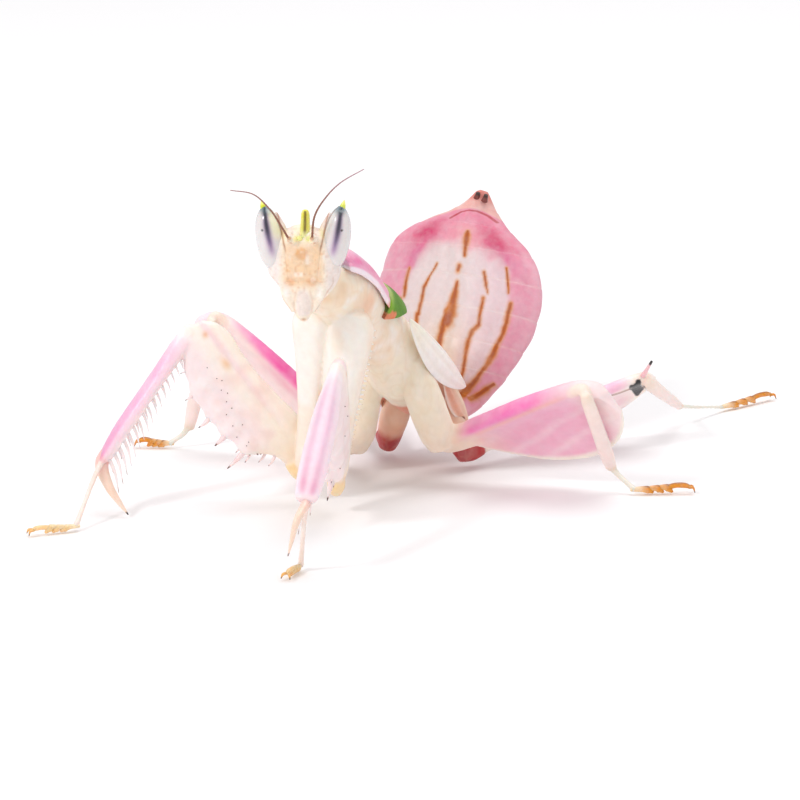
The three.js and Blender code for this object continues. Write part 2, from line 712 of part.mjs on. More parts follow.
function foreLeg(name, joints) {
  const { root, hip, knee, ankle } = joints;
  const frame = legFrame(joints);
  const outer = frame.inner.clone().negate().toArray();
  const bow = root[0] > 0 ? -COXA_BOW : COXA_BOW;
  const coxa = (grow) => loft(along(root, hip, COXA_ROWS.fore, bow), FRONT, { grow });
  const coxaRoom = coxa(GAP);
  piece(`${name}_coxa`, cutAway(coxa(0), prothoraxRoom), IVORY);

  const trochanterEnd = point(hip).addScaledVector(frame.along, TROCHANTER_LENGTH).toArray();
  const trochanter = loft(along(hip, trochanterEnd, TROCHANTER_ROWS), outer, { sides: 8 });
  piece(`${name}_trochanter`, cutAway(trochanter, coxaRoom), IVORY);

  const onFemur = (length, depth, side) =>
    point(hip)
      .addScaledVector(frame.along, length)
      .addScaledVector(frame.inner, depth)
      .addScaledVector(frame.front, side);
  const spines = FEMUR_SPINES.map(([rootLength, rootDepth, tipLength, tipDepth, side]) =>
    spine(onFemur(rootLength, rootDepth, side), onFemur(tipLength, tipDepth, side), SPINE_RADIUS),
  );
  const femur = (grow) => loft(along(hip, knee, FORE_FEMUR), outer, { edge: 0.8, grow });
  piece(`${name}_femur`, cutAway(joined(femur(0), ...spines), coxaRoom), IVORY);

  const across = new THREE.Vector3().crossVectors(frame.shin, frame.front).normalize();
  const inward = across.dot(frame.along) < 0 ? across : across.negate();
  const length = point(knee).distanceTo(point(ankle));
  const onTibia = (share, depth) =>
    point(knee).addScaledVector(frame.shin, share * length).addScaledVector(inward, depth);
  const pastTibia = ([reach, depth, forward]) =>
    onTibia(1, depth).addScaledVector(frame.shin, reach).addScaledVector(frame.front, forward);
  const comb = Array.from({ length: TIBIA_SPINES }, (_, i) => {
    const at = i / (TIBIA_SPINES - 1);
    const share = COMB.from + (COMB.to - COMB.from) * at;
    const reach = COMB.shortest + COMB.growth * at ** 1.5;
    const tip = onTibia(share, COMB.root + reach).addScaledVector(frame.shin, COMB.lean * reach);
    return spine(onTibia(share, COMB.root), tip, COMB_RADIUS);
  });
  const [bend, end] = CLAWS[name].map(pastTibia);
  end.z = Math.max(end.z, CLAW_CLEARANCE);
  const clawPlaces = [onTibia(CLAW_ROOT, 0), bend, end];
  const clawStations = clawPlaces.map((place, i) => [place.toArray(), ...CLAW_SIZES[i]]);
  const claw = (grow) => loft(clawStations, inward.toArray(), { sides: 6, grow });
  const back = inward.clone().negate().toArray();
  const shank = (grow) => loft(along(knee, ankle, FORE_TIBIA), back, { sides: 8, grow });
  piece(`${name}_tibia`, cutAway(joined(shank(0), ...comb, claw(0)), femur(GAP)), PINK);
  piece(`${name}_tarsus`, tarsus(joints, shank(GAP), claw(GAP)), IVORY);
}

function walkingLeg(name, joints, form) {
  const { root, hip, knee, ankle } = joints;
  const frame = legFrame(joints);
  const outer = frame.inner.clone().negate().toArray();
  const coxa = (grow) => loft(along(root, hip, form.coxa), FRONT, { grow });
  const coxaRoom = coxa(GAP);
  piece(`${name}_coxa`, cutAway(coxa(0), ...trunkRooms), IVORY);

  const trochanterEnd = point(hip)
    .addScaledVector(frame.along, TROCHANTER_LENGTH)
    .addScaledVector(frame.front, -form.setback)
    .toArray();
  const trochanter = (grow) => loft(along(hip, trochanterEnd, TROCHANTER_ROWS), outer, { sides: 8, grow });
  piece(`${name}_trochanter`, cutAway(trochanter(0), coxaRoom), IVORY);

  const onKnee = ([length, depthIn]) =>
    point(knee)
      .addScaledVector(frame.along, length)
      .addScaledVector(frame.inner, depthIn)
      .addScaledVector(frame.front, -form.setback);
  const spines = form.spines.map(([from, tip]) => spine(onKnee(from), onKnee(tip), SPINE_RADIUS));
  const femur = joined(petalFemur(joints, frame, form), ...spines);
  piece(`${name}_femur`, cutAway(femur, coxaRoom, trochanter(GAP)), PINK);

  const kneeFront = point(knee).addScaledVector(frame.front, TIBIA_SETFORTH).toArray();
  const forward = frame.front.toArray();
  const shank = (grow) => loft(along(kneeFront, ankle, TIBIA_ROWS), forward, { sides: 8, grow });
  piece(`${name}_tibia`, cutAway(shank(0), petalFemur(joints, frame, { ...form, grow: GAP })), IVORY);
  piece(`${name}_tarsus`, tarsus(joints, shank(GAP)), OCHRE);
}

foreLeg('left_fore', LEGS.left_fore);
foreLeg('right_fore', LEGS.right_fore);
walkingLeg('left_mid', LEGS.left_mid, MID_FORM);
walkingLeg('right_mid', LEGS.right_mid, MID_FORM);
walkingLeg('left_hind', LEGS.left_hind, HIND_FORM);
walkingLeg('right_hind', LEGS.right_hind, HIND_FORM);

// The origin goes to the floor under the middle of her bounding box.
const middle = new THREE.Box3().setFromObject(group).getCenter(new THREE.Vector3());
group.position.set(-middle.x, -middle.y, 0);

export default group;
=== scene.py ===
# Orchid mantis: the looks of a still, life-size model of a nearly grown female nymph.
# Forms are worked out in millimetres in the animal's own frame, where she faces -Y with her left side
# towards +X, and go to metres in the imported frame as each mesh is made.
import math

import bpy
import numpy as np
from mathutils import Matrix, Vector, kdtree


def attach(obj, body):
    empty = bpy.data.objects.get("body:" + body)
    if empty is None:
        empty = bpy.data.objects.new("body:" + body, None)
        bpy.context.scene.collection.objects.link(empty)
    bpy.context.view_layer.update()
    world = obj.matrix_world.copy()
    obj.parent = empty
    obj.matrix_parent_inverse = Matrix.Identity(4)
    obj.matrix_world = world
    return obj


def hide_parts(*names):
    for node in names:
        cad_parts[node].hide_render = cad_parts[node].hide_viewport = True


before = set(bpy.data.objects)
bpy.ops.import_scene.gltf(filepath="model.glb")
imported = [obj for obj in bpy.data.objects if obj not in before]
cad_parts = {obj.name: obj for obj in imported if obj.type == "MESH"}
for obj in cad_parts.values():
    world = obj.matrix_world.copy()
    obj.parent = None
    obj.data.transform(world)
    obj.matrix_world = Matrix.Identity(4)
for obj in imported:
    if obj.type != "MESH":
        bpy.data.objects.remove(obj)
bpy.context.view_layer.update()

MM = 0.001
ORIGIN = np.array([-0.4341, 3.2418, 0.0])  # the frame's origin, in the animal's own frame
UP = np.array([0.0, 0.0, 1.0])
FRONT = np.array([0.0, -1.0, 0.0])
SIDEWAYS = np.array([1.0, 0.0, 0.0])

# ---------------------------------------------------------------- camera: the angle of view of the photo

CAMERA_AZIMUTH = math.radians(26)
CAMERA_HEIGHT = math.radians(15)
CAMERA_DISTANCE = 270.0
CAMERA_TARGET = np.array([0.0, 0.0, 6.2])
PICTURE_WIDTH = 60.0  # what the picture spans at the target
SENSOR = 36.0
CLIP_START = 0.01  # metres


def placed(name, data):
    """A new object in the scene, around a mesh, a light or a camera."""
    made = bpy.data.objects.new(name, data)
    bpy.context.scene.collection.objects.link(made)
    return made


def place_camera():
    level = math.cos(CAMERA_HEIGHT)
    toward = np.array(
        [math.sin(CAMERA_AZIMUTH) * level, -math.cos(CAMERA_AZIMUTH) * level, math.sin(CAMERA_HEIGHT)]
    )
    right = np.array([math.cos(CAMERA_AZIMUTH), math.sin(CAMERA_AZIMUTH), 0.0])
    above = np.cross(toward, right)
    camera = bpy.data.cameras.new("camera")
    camera.sensor_width = SENSOR
    camera.lens = SENSOR * CAMERA_DISTANCE / PICTURE_WIDTH
    camera.clip_start = CLIP_START
    holder = placed("camera", camera)
    place = (CAMERA_TARGET + toward * CAMERA_DISTANCE - ORIGIN) * MM
    turn = Matrix([right, above, toward]).transposed().to_4x4()
    holder.matrix_world = Matrix.Translation(Vector(place)) @ turn
    bpy.context.scene.camera = holder


place_camera()

# ---------------------------------------------------------------- numbers


def unit(vectors):
    return vectors / np.maximum(np.linalg.norm(vectors, axis=-1, keepdims=True), 1e-9)


def spline(places, at):
    """A smooth curve through rows of numbers, at shares from 0 to 1 of its length in rows."""
    places = np.asarray(places, float)
    spans = len(places) - 1
    along = np.clip(np.asarray(at, float), 0, 1) * spans
    index = np.minimum(along.astype(int), spans - 1)
    t = (along - index)[..., None]
    padded = np.vstack([2 * places[0] - places[1], places, 2 * places[-1] - places[-2]])
    a, b, c, d = (padded[index + step] for step in range(4))
    return 0.5 * (2 * b + (c - a) * t + (2 * a - 5 * b + 4 * c - d) * t**2 + (3 * b - a - 3 * c + d) * t**3)


def ramp(value, low, high):
    """0 up to low, 1 from high on, and a soft step between them. low may be the higher one."""
    t = np.clip((value - low) / (high - low), 0, 1)
    return t * t * (3 - 2 * t)


def band(value, centre, width):
    return np.exp(-(((value - centre) / width) ** 2))


GRAIN_TABLE = 4096
GRAIN_PRIMES = np.array([73856093, 19349663, 83492791])
GRAIN_SHIFT = 17.3  # cells between the places of two seeds


def grain(points, size, seed):
    """Smooth noise from -1 to 1 whose bumps are about size across."""
    table = np.random.default_rng(seed).uniform(-1, 1, GRAIN_TABLE)
    scaled = points / size + GRAIN_SHIFT * seed
    cell = np.floor(scaled).astype(np.int64)
    part = scaled - cell
    part = part * part * (3 - 2 * part)
    total = 0
    for corner in np.ndindex(2, 2, 2):
        mixed = np.bitwise_xor.reduce((cell + np.array(corner)) * GRAIN_PRIMES, axis=-1)
        weight = np.prod(np.where(np.array(corner) == 1, part, 1 - part), axis=-1)
        total = total + table[mixed % GRAIN_TABLE] * weight
    return total


def hue(code):
    """A colour code such as "f3e6d0", as linear red, green and blue by the sRGB curve."""
    shares = np.array([int(code[i : i + 2], 16) for i in (0, 2, 4)]) / 255
    return np.where(shares <= 0.04045, shares / 12.92, ((shares + 0.055) / 1.055) ** 2.4)


def distance_to_path(spots, path):
    """How far spots are from the line through a path, and the share of the path nearest to each."""
    path = np.asarray(path, float)
    best = np.full(spots.shape[:-1], np.inf)
    share = np.zeros(spots.shape[:-1])
    for number, (start, end) in enumerate(zip(path[:-1], path[1:])):
        span = end - start
        t = np.clip(((spots - start) @ span) / max(span @ span, 1e-9), 0, 1)
        away = np.linalg.norm(spots - start - t[..., None] * span, axis=-1)
        closer = away < best
        best = np.where(closer, away, best)
        share = np.where(closer, (number + t) / (len(path) - 1), share)
    return best, share


def blended(tints, code, mask):
    """Tints, painted over with a colour code as strongly as the mask says."""
    mask = np.clip(mask, 0, 1)[..., None]
    return tints * (1 - mask) + hue(code) * mask


# ---------------------------------------------------------------- colours

IVORY = "f6ebdd"
CREAM = "f4e8d4"
PEACH = "f0cba4"
WHITE = "faf4ef"
MAGENTA = "f07cbc"
ROSE = "d4456f"
ORANGE = "dd8a26"
RUST = "ae4f10"
BLACK = "1c1512"
JET = "040303"
# Painted shade: the dark red that pink parts under the body show in their shade.
UNDERSIDE_SHADE_RED = "b23a3c"

# ---------------------------------------------------------------- shells: grids of coloured points


class Shell:
    """A closed form: rows of rings of points, with a colour and a softness at each point.

    along has a number for each ring, and around has one for each point of a ring.
    """

    def __init__(self, points, along, around, tint=IVORY, fold=0.0):
        shape = points.shape[:2]
        self.points = points
        self.along = np.broadcast_to(along[:, None], shape)
        self.around = np.broadcast_to(around, shape)
        self.tint = np.broadcast_to(hue(tint), points.shape).copy()
        self.fold = np.full(shape, float(fold))

    def normals(self):
        across = np.roll(self.points, -1, 1) - np.roll(self.points, 1, 1)
        facing = unit(np.cross(np.gradient(self.points, axis=0), across))
        middle = self.points.mean(axis=1, keepdims=True)
        return facing * np.sign(((self.points - middle) * facing).sum())

    def facing(self, direction):
        return self.normals() @ unit(np.asarray(direction, float))

    def push(self, amount):
        self.points = self.points + self.normals() * np.asarray(amount)[..., None]
        return self

    def paint(self, tint, mask):
        self.tint = blended(self.tint, tint, np.broadcast_to(mask, self.points.shape[:2]))
        return self

    def lift(self, floor=0.0):
        self.points[..., 2] = np.maximum(self.points[..., 2], floor)
        return self

    def moved(self, place):
        self.points = place(self.points)
        return self


TANGENT_STEP = 0.002
DOME_RINGS = 5
LEAST_SHARE = 0.02  # of a ring's size, where a form closes
THORN_BULK = (1.0, 0.72, 0.12)  # thickness at its root, middle and tip


def tangents(places, at):
    return unit(spline(places, at + TANGENT_STEP) - spline(places, at - TANGENT_STEP))


def round_stations(places, radii):
    return [[place, radius, radius] for place, radius in zip(places, radii)]


def loft(stations, upward, rows=48, sides=32, edge=1.0, dome=0.35, tint=IVORY, fold=0.0):
    """A limb through stations of [place, half width, reach above, reach below], with domed ends."""
    places = [station[0] for station in stations]
    sizes = [(*station[1:], station[-1])[:3] for station in stations]
    at = np.linspace(0, 1, rows)
    centre = spline(places, at)
    size = spline(sizes, at)
    tangent = tangents(places, at)
    steps = np.linspace(0, math.pi / 2, DOME_RINGS + 1)[1:]
    for end, sign in ((0, -1), (-1, 1)):
        reach = dome * size[end].mean()
        more_centre = centre[end] + sign * tangent[end] * (reach * np.sin(steps))[:, None]
        more_size = size[end] * np.maximum(np.cos(steps), LEAST_SHARE)[:, None]
        more_tangent = np.repeat(tangent[end][None], len(steps), 0)
        more_at = np.full(len(steps), at[end])
        pairs = [(centre, more_centre), (size, more_size), (tangent, more_tangent), (at, more_at)]
        if sign < 0:
            pairs = [(new[::-1], old) for old, new in pairs]
        centre, size, tangent, at = (np.concatenate(pair) for pair in pairs)
    across = unit(np.cross(tangent, upward))
    rise = unit(np.cross(across, tangent))
    angle = 2 * math.pi * np.arange(sides) / sides
    side = np.sign(np.sin(angle)) * np.abs(np.sin(angle)) ** edge
    top = np.cos(angle)
    reach = np.where(top > 0, size[:, 1:2], size[:, 2:3])
    points = (
        centre[:, None]
        + across[:, None] * (size[:, :1] * side)[..., None]
        + rise[:, None] * (reach * top)[..., None]
    )
    turned = np.where(angle > math.pi, angle - 2 * math.pi, angle)
    return Shell(points, at, turned, tint, fold)


def thorn(root, tip, radius, curve=(0, 0, 0), tint=WHITE, point_tint=BLACK, blackened=0.16, sides=10):
    """A spine from its root to its tip, bent by curve at its middle, with a dark point."""
    root, tip = np.asarray(root, float), np.asarray(tip, float)
    middle = (root + tip) / 2 + np.asarray(curve, float)
    stations = round_stations((root, middle, tip), [radius * share for share in THORN_BULK])
    aside = SIDEWAYS if abs(unit(tip - root)[0]) < 0.7 else UP
    shell = loft(stations, aside, rows=14, sides=sides, dome=0.6, tint=tint)
    return shell.paint(point_tint, ramp(shell.along, 1 - blackened * 1.4, 1 - blackened * 0.6))


# ---------------------------------------------------------------- meshes


def stack(shells):
    """The vertices, faces, colours and softness of several shells."""
    vertices, faces, tints, folds = [], [], [], []
    start = 0
    for shell in shells:
        rows, sides = shell.points.shape[:2]
        spots = np.arange(rows * sides).reshape(rows, sides) + start
        after = np.roll(spots, -1, 1)
        quads = np.stack([spots[:-1], after[:-1], after[1:], spots[1:]], -1).reshape(-1, 4)
        first_pole = start + rows * sides
        caps = [(first_pole, after[0, i], spots[0, i]) for i in range(sides)]
        caps += [(first_pole + 1, spots[-1, i], after[-1, i]) for i in range(sides)]
        poles = np.stack([shell.points[0].mean(0), shell.points[-1].mean(0)])
        corners = np.cross(
            shell.points[:-1] - np.roll(shell.points, -1, 1)[1:],
            np.roll(shell.points, -1, 1)[:-1] - shell.points[1:],
        )
        middles = (shell.points[:-1] + np.roll(shell.points, -1, 1)[1:]) / 2
        if (corners * middles).sum() < 0:
            quads = quads[:, ::-1]
            caps = [cap[::-1] for cap in caps]
        vertices += [shell.points.reshape(-1, 3), poles]
        tints += [shell.tint.reshape(-1, 3), shell.tint[[0, -1], 0]]
        folds += [shell.fold.reshape(-1), shell.fold[[0, -1], 0]]
        faces += quads.tolist() + [list(cap) for cap in caps]
        start += rows * sides + 2
    return np.vstack(vertices), faces, np.vstack(tints), np.concatenate(folds)


def mesh_of(name, vertices, faces):
    mesh = bpy.data.meshes.new(name)
    mesh.from_pydata(vertices.tolist(), [], faces)
    mesh.update()
    return mesh


def colour_in(mesh, tints):
    attribute = mesh.color_attributes.new("tint", "FLOAT_COLOR", "POINT")
    opaque = np.hstack([tints, np.ones((len(tints), 1))])
    attribute.data.foreach_set("color", opaque.astype(np.float32).ravel())


def coordinates(mesh, what="co"):
    values = np.zeros(len(mesh.vertices) * 3, np.float32)
    source = mesh.vertices if what == "co" else mesh.vertex_normals
    source.foreach_get("co" if what == "co" else "vector", values)
    return values.reshape(-1, 3).astype(float)


def finished(name, mesh, tints, material, nodes):
    """Puts a mesh in millimetres into the frame as a piece that stands for the CAD nodes it is given."""
    points = (coordinates(mesh) - ORIGIN) * MM
    mesh.vertices.foreach_set("co", points.astype(np.float32).ravel())
    colour_in(mesh, tints)
    mesh.polygons.foreach_set("use_smooth", np.ones(len(mesh.polygons), bool))
    mesh.materials.append(material)
    mesh.update()
    piece = placed(name, mesh)
    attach(piece, "root")
    if nodes:
        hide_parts(*nodes)
    return piece


def joined(name, shells, material, nodes=()):
    vertices, faces, tints, _ = stack(shells)
    return finished(name, mesh_of(name, vertices, faces), tints, material, nodes)


SMOOTHING = 0.5
NEIGHBOURS = 3  # shell points that a point of the skin takes its colour from
BLUR_ROUNDS = 2


def evened(values, edges, rounds):
    """Each vertex' values, averaged with its neighbours' that many times."""
    counts = np.bincount(edges.ravel(), minlength=len(values))[:, None] + 1.0
    for _ in range(rounds):
        total = values.copy()
        np.add.at(total, edges[:, 0], values[edges[:, 1]])
        np.add.at(total, edges[:, 1], values[edges[:, 0]])
        values = total / counts
    return values


def united(name, shells, voxel, rounds):
    """One closed skin over all the shells, with the colour and softness of the nearest shell points."""
    vertices, faces, tints, folds = stack(shells)
    rough = placed(name, mesh_of(name, vertices, faces))
    remesh = rough.modifiers.new("remesh", "REMESH")
    remesh.mode = "VOXEL"
    remesh.voxel_size = voxel
    smooth = rough.modifiers.new("smooth", "SMOOTH")
    smooth.iterations = rounds
    smooth.factor = SMOOTHING
    mesh = bpy.data.meshes.new_from_object(rough.evaluated_get(bpy.context.evaluated_depsgraph_get()))
    bpy.data.objects.remove(rough)
    tree = kdtree.KDTree(len(vertices))
    for number, place in enumerate(vertices):
        tree.insert(place, number)
    tree.balance()
    points = coordinates(mesh)
    carried = np.hstack([tints, folds[:, None]])
    nearest = np.array([[found[1] for found in tree.find_n(place, NEIGHBOURS)] for place in points])
    values = carried[nearest].mean(axis=1)
    edges = np.zeros(len(mesh.edges) * 2, np.int32)
    mesh.edges.foreach_get("vertices", edges)
    values = evened(values, edges.reshape(-1, 2), BLUR_ROUNDS)
    return mesh, points, values[:, :3], values[:, 3]


# ---------------------------------------------------------------- materials


NOISE_SPAN = (0.3, 0.7)  # the part of a noise's range that is spread over a span
GLOSS_GRAIN = 0.12  # sizes in mm
CELL_SIZE = 0.11
RIPPLE_SIZE = 0.45
BUMP_DEPTH = 0.05
CELL_SHARE = 0.25  # of the cells in the relief, beside the ripple
FLESH_RADIUS = (1.0, 0.62, 0.5)
COAT_ROUGHNESS = 0.22


class Nodes:
    """Short calls for building one material's nodes."""

    def __init__(self, name):
        self.material = bpy.data.materials.new(name)
        self.material.use_nodes = True
        self.tree = self.material.node_tree
        self.surface = self.tree.nodes["Principled BSDF"]

    def add(self, kind, **settings):
        node = self.tree.nodes.new(kind)
        for key, value in settings.items():
            if key in node.inputs:
                node.inputs[key].default_value = value
            else:
                setattr(node, key, value)
        return node

    def link(self, source, target):
        self.tree.links.new(source, target)

    def noise(self, scale, detail):
        where = self.add("ShaderNodeTexCoord")
        noise = self.add("ShaderNodeTexNoise", Scale=scale, Detail=detail, Roughness=0.55)
        self.link(where.outputs["Object"], noise.inputs["Vector"])
        return noise.outputs["Fac"]

    def span(self, value, low, high):
        node = self.add("ShaderNodeMapRange")
        node.inputs["To Min"].default_value = low
        node.inputs["To Max"].default_value = high
        node.inputs["From Min"].default_value = NOISE_SPAN[0]
        node.inputs["From Max"].default_value = NOISE_SPAN[1]
        self.link(value, node.inputs["Value"])
        return node.outputs["Result"]

    def vary(self, socket, scale, detail, low, high):
        """Lets a socket vary from low to high with a noise."""
        self.link(self.span(self.noise(scale, detail), low, high), socket)


def cuticle(name, mottle=0.05, mottle_size=0.7, relief=0.12, gloss=0.42, coat=0.15, glow=0.25, depth=0.5):
    """Waxy, faintly translucent insect cuticle, coloured by the mesh and broken up by fine noise."""
    made = Nodes(name)
    tint = made.add("ShaderNodeAttribute", attribute_name="tint")
    shade = made.add("ShaderNodeHueSaturation")
    made.link(tint.outputs["Color"], shade.inputs["Color"])
    made.vary(shade.inputs["Value"], 1 / (mottle_size * MM), 4.0, 1 - mottle, 1 + mottle)
    made.vary(shade.inputs["Saturation"], 0.6 / (mottle_size * MM), 2.0, 1.12, 0.9)
    made.link(shade.outputs["Color"], made.surface.inputs["Base Color"])
    made.vary(made.surface.inputs["Roughness"], 1 / (GLOSS_GRAIN * MM), 2.0, gloss - 0.08, gloss + 0.1)
    cells = made.add("ShaderNodeTexVoronoi", feature="SMOOTH_F1", Scale=1 / (CELL_SIZE * MM), Smoothness=0.6)
    where = made.add("ShaderNodeTexCoord")
    made.link(where.outputs["Object"], cells.inputs["Vector"])
    relief_sum = made.add("ShaderNodeMath", operation="MULTIPLY_ADD")
    made.link(cells.outputs["Distance"], relief_sum.inputs[0])
    relief_sum.inputs[1].default_value = CELL_SHARE
    made.link(made.noise(1 / (RIPPLE_SIZE * MM), 3.0), relief_sum.inputs[2])
    bump = made.add("ShaderNodeBump", Strength=relief, Distance=BUMP_DEPTH * MM)
    made.link(relief_sum.outputs["Value"], bump.inputs["Height"])
    made.link(bump.outputs["Normal"], made.surface.inputs["Normal"])
    made.surface.inputs["Subsurface Weight"].default_value = glow
    made.surface.inputs["Subsurface Radius"].default_value = FLESH_RADIUS
    made.surface.inputs["Subsurface Scale"].default_value = depth * MM
    made.surface.inputs["Coat Weight"].default_value = coat
    made.surface.inputs["Coat Roughness"].default_value = COAT_ROUGHNESS
    return made.material


SKIN = cuticle("waxy_skin", mottle=0.03, relief=0.3, glow=0.45, depth=0.7)
FACE_SKIN = cuticle("face_skin", mottle=0.07, mottle_size=0.3, relief=0.45, gloss=0.5, coat=0.04, depth=0.35)
TERGITE = cuticle(
    "tergite_skin", mottle=0.04, mottle_size=0.4, relief=0.4, gloss=0.5, coat=0.08, glow=0.4, depth=0.6
)
LEAF_PLATE = cuticle("leaf_plate", mottle=0.08, mottle_size=0.35, gloss=0.55, coat=0.02, glow=0.1, depth=0.3)
PLATE = cuticle(
    "plate", mottle=0.04, mottle_size=0.45, relief=0.3, gloss=0.36, coat=0.25, glow=0.4, depth=0.5
)
SPINE = cuticle("spine", mottle=0.02, relief=0.1, gloss=0.32, coat=0.3, glow=0.4, depth=0.3)
FOOT_SKIN = cuticle(
    "foot", mottle=0.12, mottle_size=0.25, relief=0.4, gloss=0.35, coat=0.2, glow=0.3, depth=0.3
)
FEELER = cuticle(
    "feeler", mottle=0.1, mottle_size=0.2, relief=0.2, gloss=0.4, coat=0.1, glow=0.1, depth=0.2
)
EYE = cuticle(
    "eye", mottle=0.03, mottle_size=0.5, relief=0.06, gloss=0.2, coat=0.9, glow=0.3, depth=0.25
)

# ---------------------------------------------------------------- joints of the legs

FOOT = 0.4
LEGS = {
    "left_fore": {
        "root": [1.75, -10.9, 15.4],
        "hip": [-0.2, -10.2, 2.0],
        "knee": [3.3, -16.9, 12.8],
        "ankle": [5.4, -25.7, 6.0],
        "heel": [3.8, -23.5, FOOT],
        "toe": [3.9, -25.7, FOOT],
    },
    "right_fore": {
        "root": [-1.75, -10.9, 15.4],
        "hip": [-3.7, -8.7, 2.2],
        "knee": [-10.9, -11.7, 13.0],
        "ankle": [-15.7, -17.4, 4.1],
        "heel": [-15.0, -22.4, FOOT],
        "toe": [-17.3, -24.7, FOOT],
    },
    "left_mid": {
        "root": [2.0, -1.4, 8.6],
        "hip": [3.5, -0.1, 3.1],
        "knee": [15.4, -1.3, 9.0],
        "ankle": [15.6, 4.0, 1.75],
        "heel": [17.5, 3.9, FOOT],
        "toe": [21.2, 6.0, FOOT],
    },
    "right_mid": {
        "root": [-2.0, -1.4, 8.6],
        "hip": [-4.0, 0.4, 2.0],
        "knee": [-15.2, -1.0, 11.2],
        "ankle": [-18.5, 0.5, 1.5],
        "heel": [-19.8, -0.2, FOOT],
        "toe": [-22.1, -1.1, FOOT],
    },
    "left_hind": {
        "root": [1.7, 3.4, 5.4],
        "hip": [3.4, 4.7, 1.05],
        "knee": [14.0, 14.1, 6.2],
        "ankle": [13.3, 23.6, 1.5],
        "heel": [14.9, 28.9, FOOT],
        "toe": [17.2, 33.9, FOOT],
    },
}
LEGS["right_hind"] = {joint: [-x, y, z] for joint, (x, y, z) in LEGS["left_hind"].items()}
FORE_LEGS = ("left_fore", "right_fore")
WALKING_LEGS = ("left_mid", "right_mid", "left_hind", "right_hind")


class Limb:
    """The plane in which a leg bends, and places on its femur and tibia."""

    def __init__(self, joints):
        self.root, self.hip, self.knee, self.ankle, self.heel, self.toe = (
            np.array(joints[key], float) for key in ("root", "hip", "knee", "ankle", "heel", "toe")
        )
        self.length = np.linalg.norm(self.knee - self.hip)
        self.shank_length = np.linalg.norm(self.ankle - self.knee)
        self.along = unit(self.knee - self.hip)
        self.shin = unit(self.ankle - self.knee)
        self.inner = unit(self.shin - self.along * (self.shin @ self.along))
        self.front = unit(np.cross(self.along, self.inner))
        if self.front[1] > 0:
            self.front = -self.front
        across = unit(np.cross(self.shin, self.front))
        self.inward = across if across @ self.along < 0 else -across

    def on_femur(self, share, depth, side=0.0):
        return self.hip + self.along * self.length * share + self.inner * depth + self.front * side

    def on_tibia(self, share, depth, side=0.0):
        return self.knee + self.shin * self.shank_length * share + self.inward * depth + self.front * side

    def in_plane(self, points):
        """Where points lie: share of the femur's length, and depth towards the tibia."""
        away = points - self.hip
        return np.stack([away @ self.along / self.length, away @ self.inner], -1)


def stations_between(start, end, rows, bow=0.0):
    """Stations on the line between two places, from rows of share and sizes. A bow bends it sideways."""
    start, end = np.asarray(start, float), np.asarray(end, float)
    stations = []
    for share, *size in rows:
        place = start + (end - start) * share
        place[0] += bow * 4 * share * (1 - share)
        stations.append([place, *size])
    return stations


LIMBS = {name: Limb(joints) for name, joints in LEGS.items()}

# ---------------------------------------------------------------- trunk

NECK = [
    [[-0.6, -14.6, 20.0], 0.8, 0.9],
    [[-0.2, -13.6, 19.4], 0.85, 0.95],
    [[0, -12.2, 18.2], 1.0, 1.05],
]
PROTHORAX = [
    [[0, -12.75, 18.35], 1.25, 1.2, 1.6],
    [[0, -11.6, 17.8], 2.15, 2.0, 2.5],
    [[0, -9.4, 16.8], 2.3, 2.15, 3.0],
    [[0, -5.65, 14.3], 1.75, 1.7, 2.9],
    [[0, -2.6, 12.0], 1.85, 1.8, 2.9],
]
MESOTHORAX = [
    [[0, -2.6, 11.9], 1.9, 1.6, 2.9],
    [[0, -1.2, 10.8], 2.35, 2.0, 3.4],
    [[0, 0.3, 9.5], 2.5, 2.0, 3.5],
    [[0, 1.9, 8.0], 2.4, 1.9, 3.1],
]
METATHORAX = [
    [[0, 1.5, 8.3], 2.35, 1.85, 3.0],
    [[0, 3.3, 6.8], 2.3, 1.7, 2.7],
    [[0, 5.2, 5.2], 2.1, 1.4, 1.8],
]


def trunk_shells():
    neck = loft(NECK, UP, tint="f4dfc8", fold=0.5)
    prothorax = loft(PROTHORAX, UP, rows=90, sides=64, tint="f6e6d2", fold=0.8)
    prothorax.paint(PEACH, 0.4 * ramp(grain(prothorax.points, 0.8, 3), 0.0, 0.7))
    prothorax.paint(WHITE, 0.6 * ramp(grain(prothorax.points, 0.6, 4), 0.1, 0.8))
    shoulder = np.linalg.norm(prothorax.points - [2.2, -9.6, 15.9], axis=-1)
    prothorax.paint("efb58e", 0.6 * ramp(shoulder, 1.5, 0.4))
    mesothorax = loft(MESOTHORAX, UP, rows=70, sides=64, tint=CREAM, fold=0.9)
    metathorax = loft(METATHORAX, UP, rows=60, sides=64, tint="eccab2", fold=0.5)
    height = metathorax.points[..., 2]
    # The flank turns red-orange downwards: its own colour, deepened with painted shade where it lies between
    # the wing pads and the mid coxae.
    metathorax.paint("df8a74", 0.85 * ramp(height, 7.6, 5.0))
    metathorax.paint("e8a98a", 0.6 * ramp(grain(metathorax.points, 0.9, 6), 0.0, 0.6))
    # Painted shade: the lowest part, under the body, is painted dark red.
    metathorax.paint(UNDERSIDE_SHADE_RED, ramp(height, 3.2, 2.2))
    return [neck, prothorax, mesothorax, metathorax]


# ---------------------------------------------------------------- fore legs

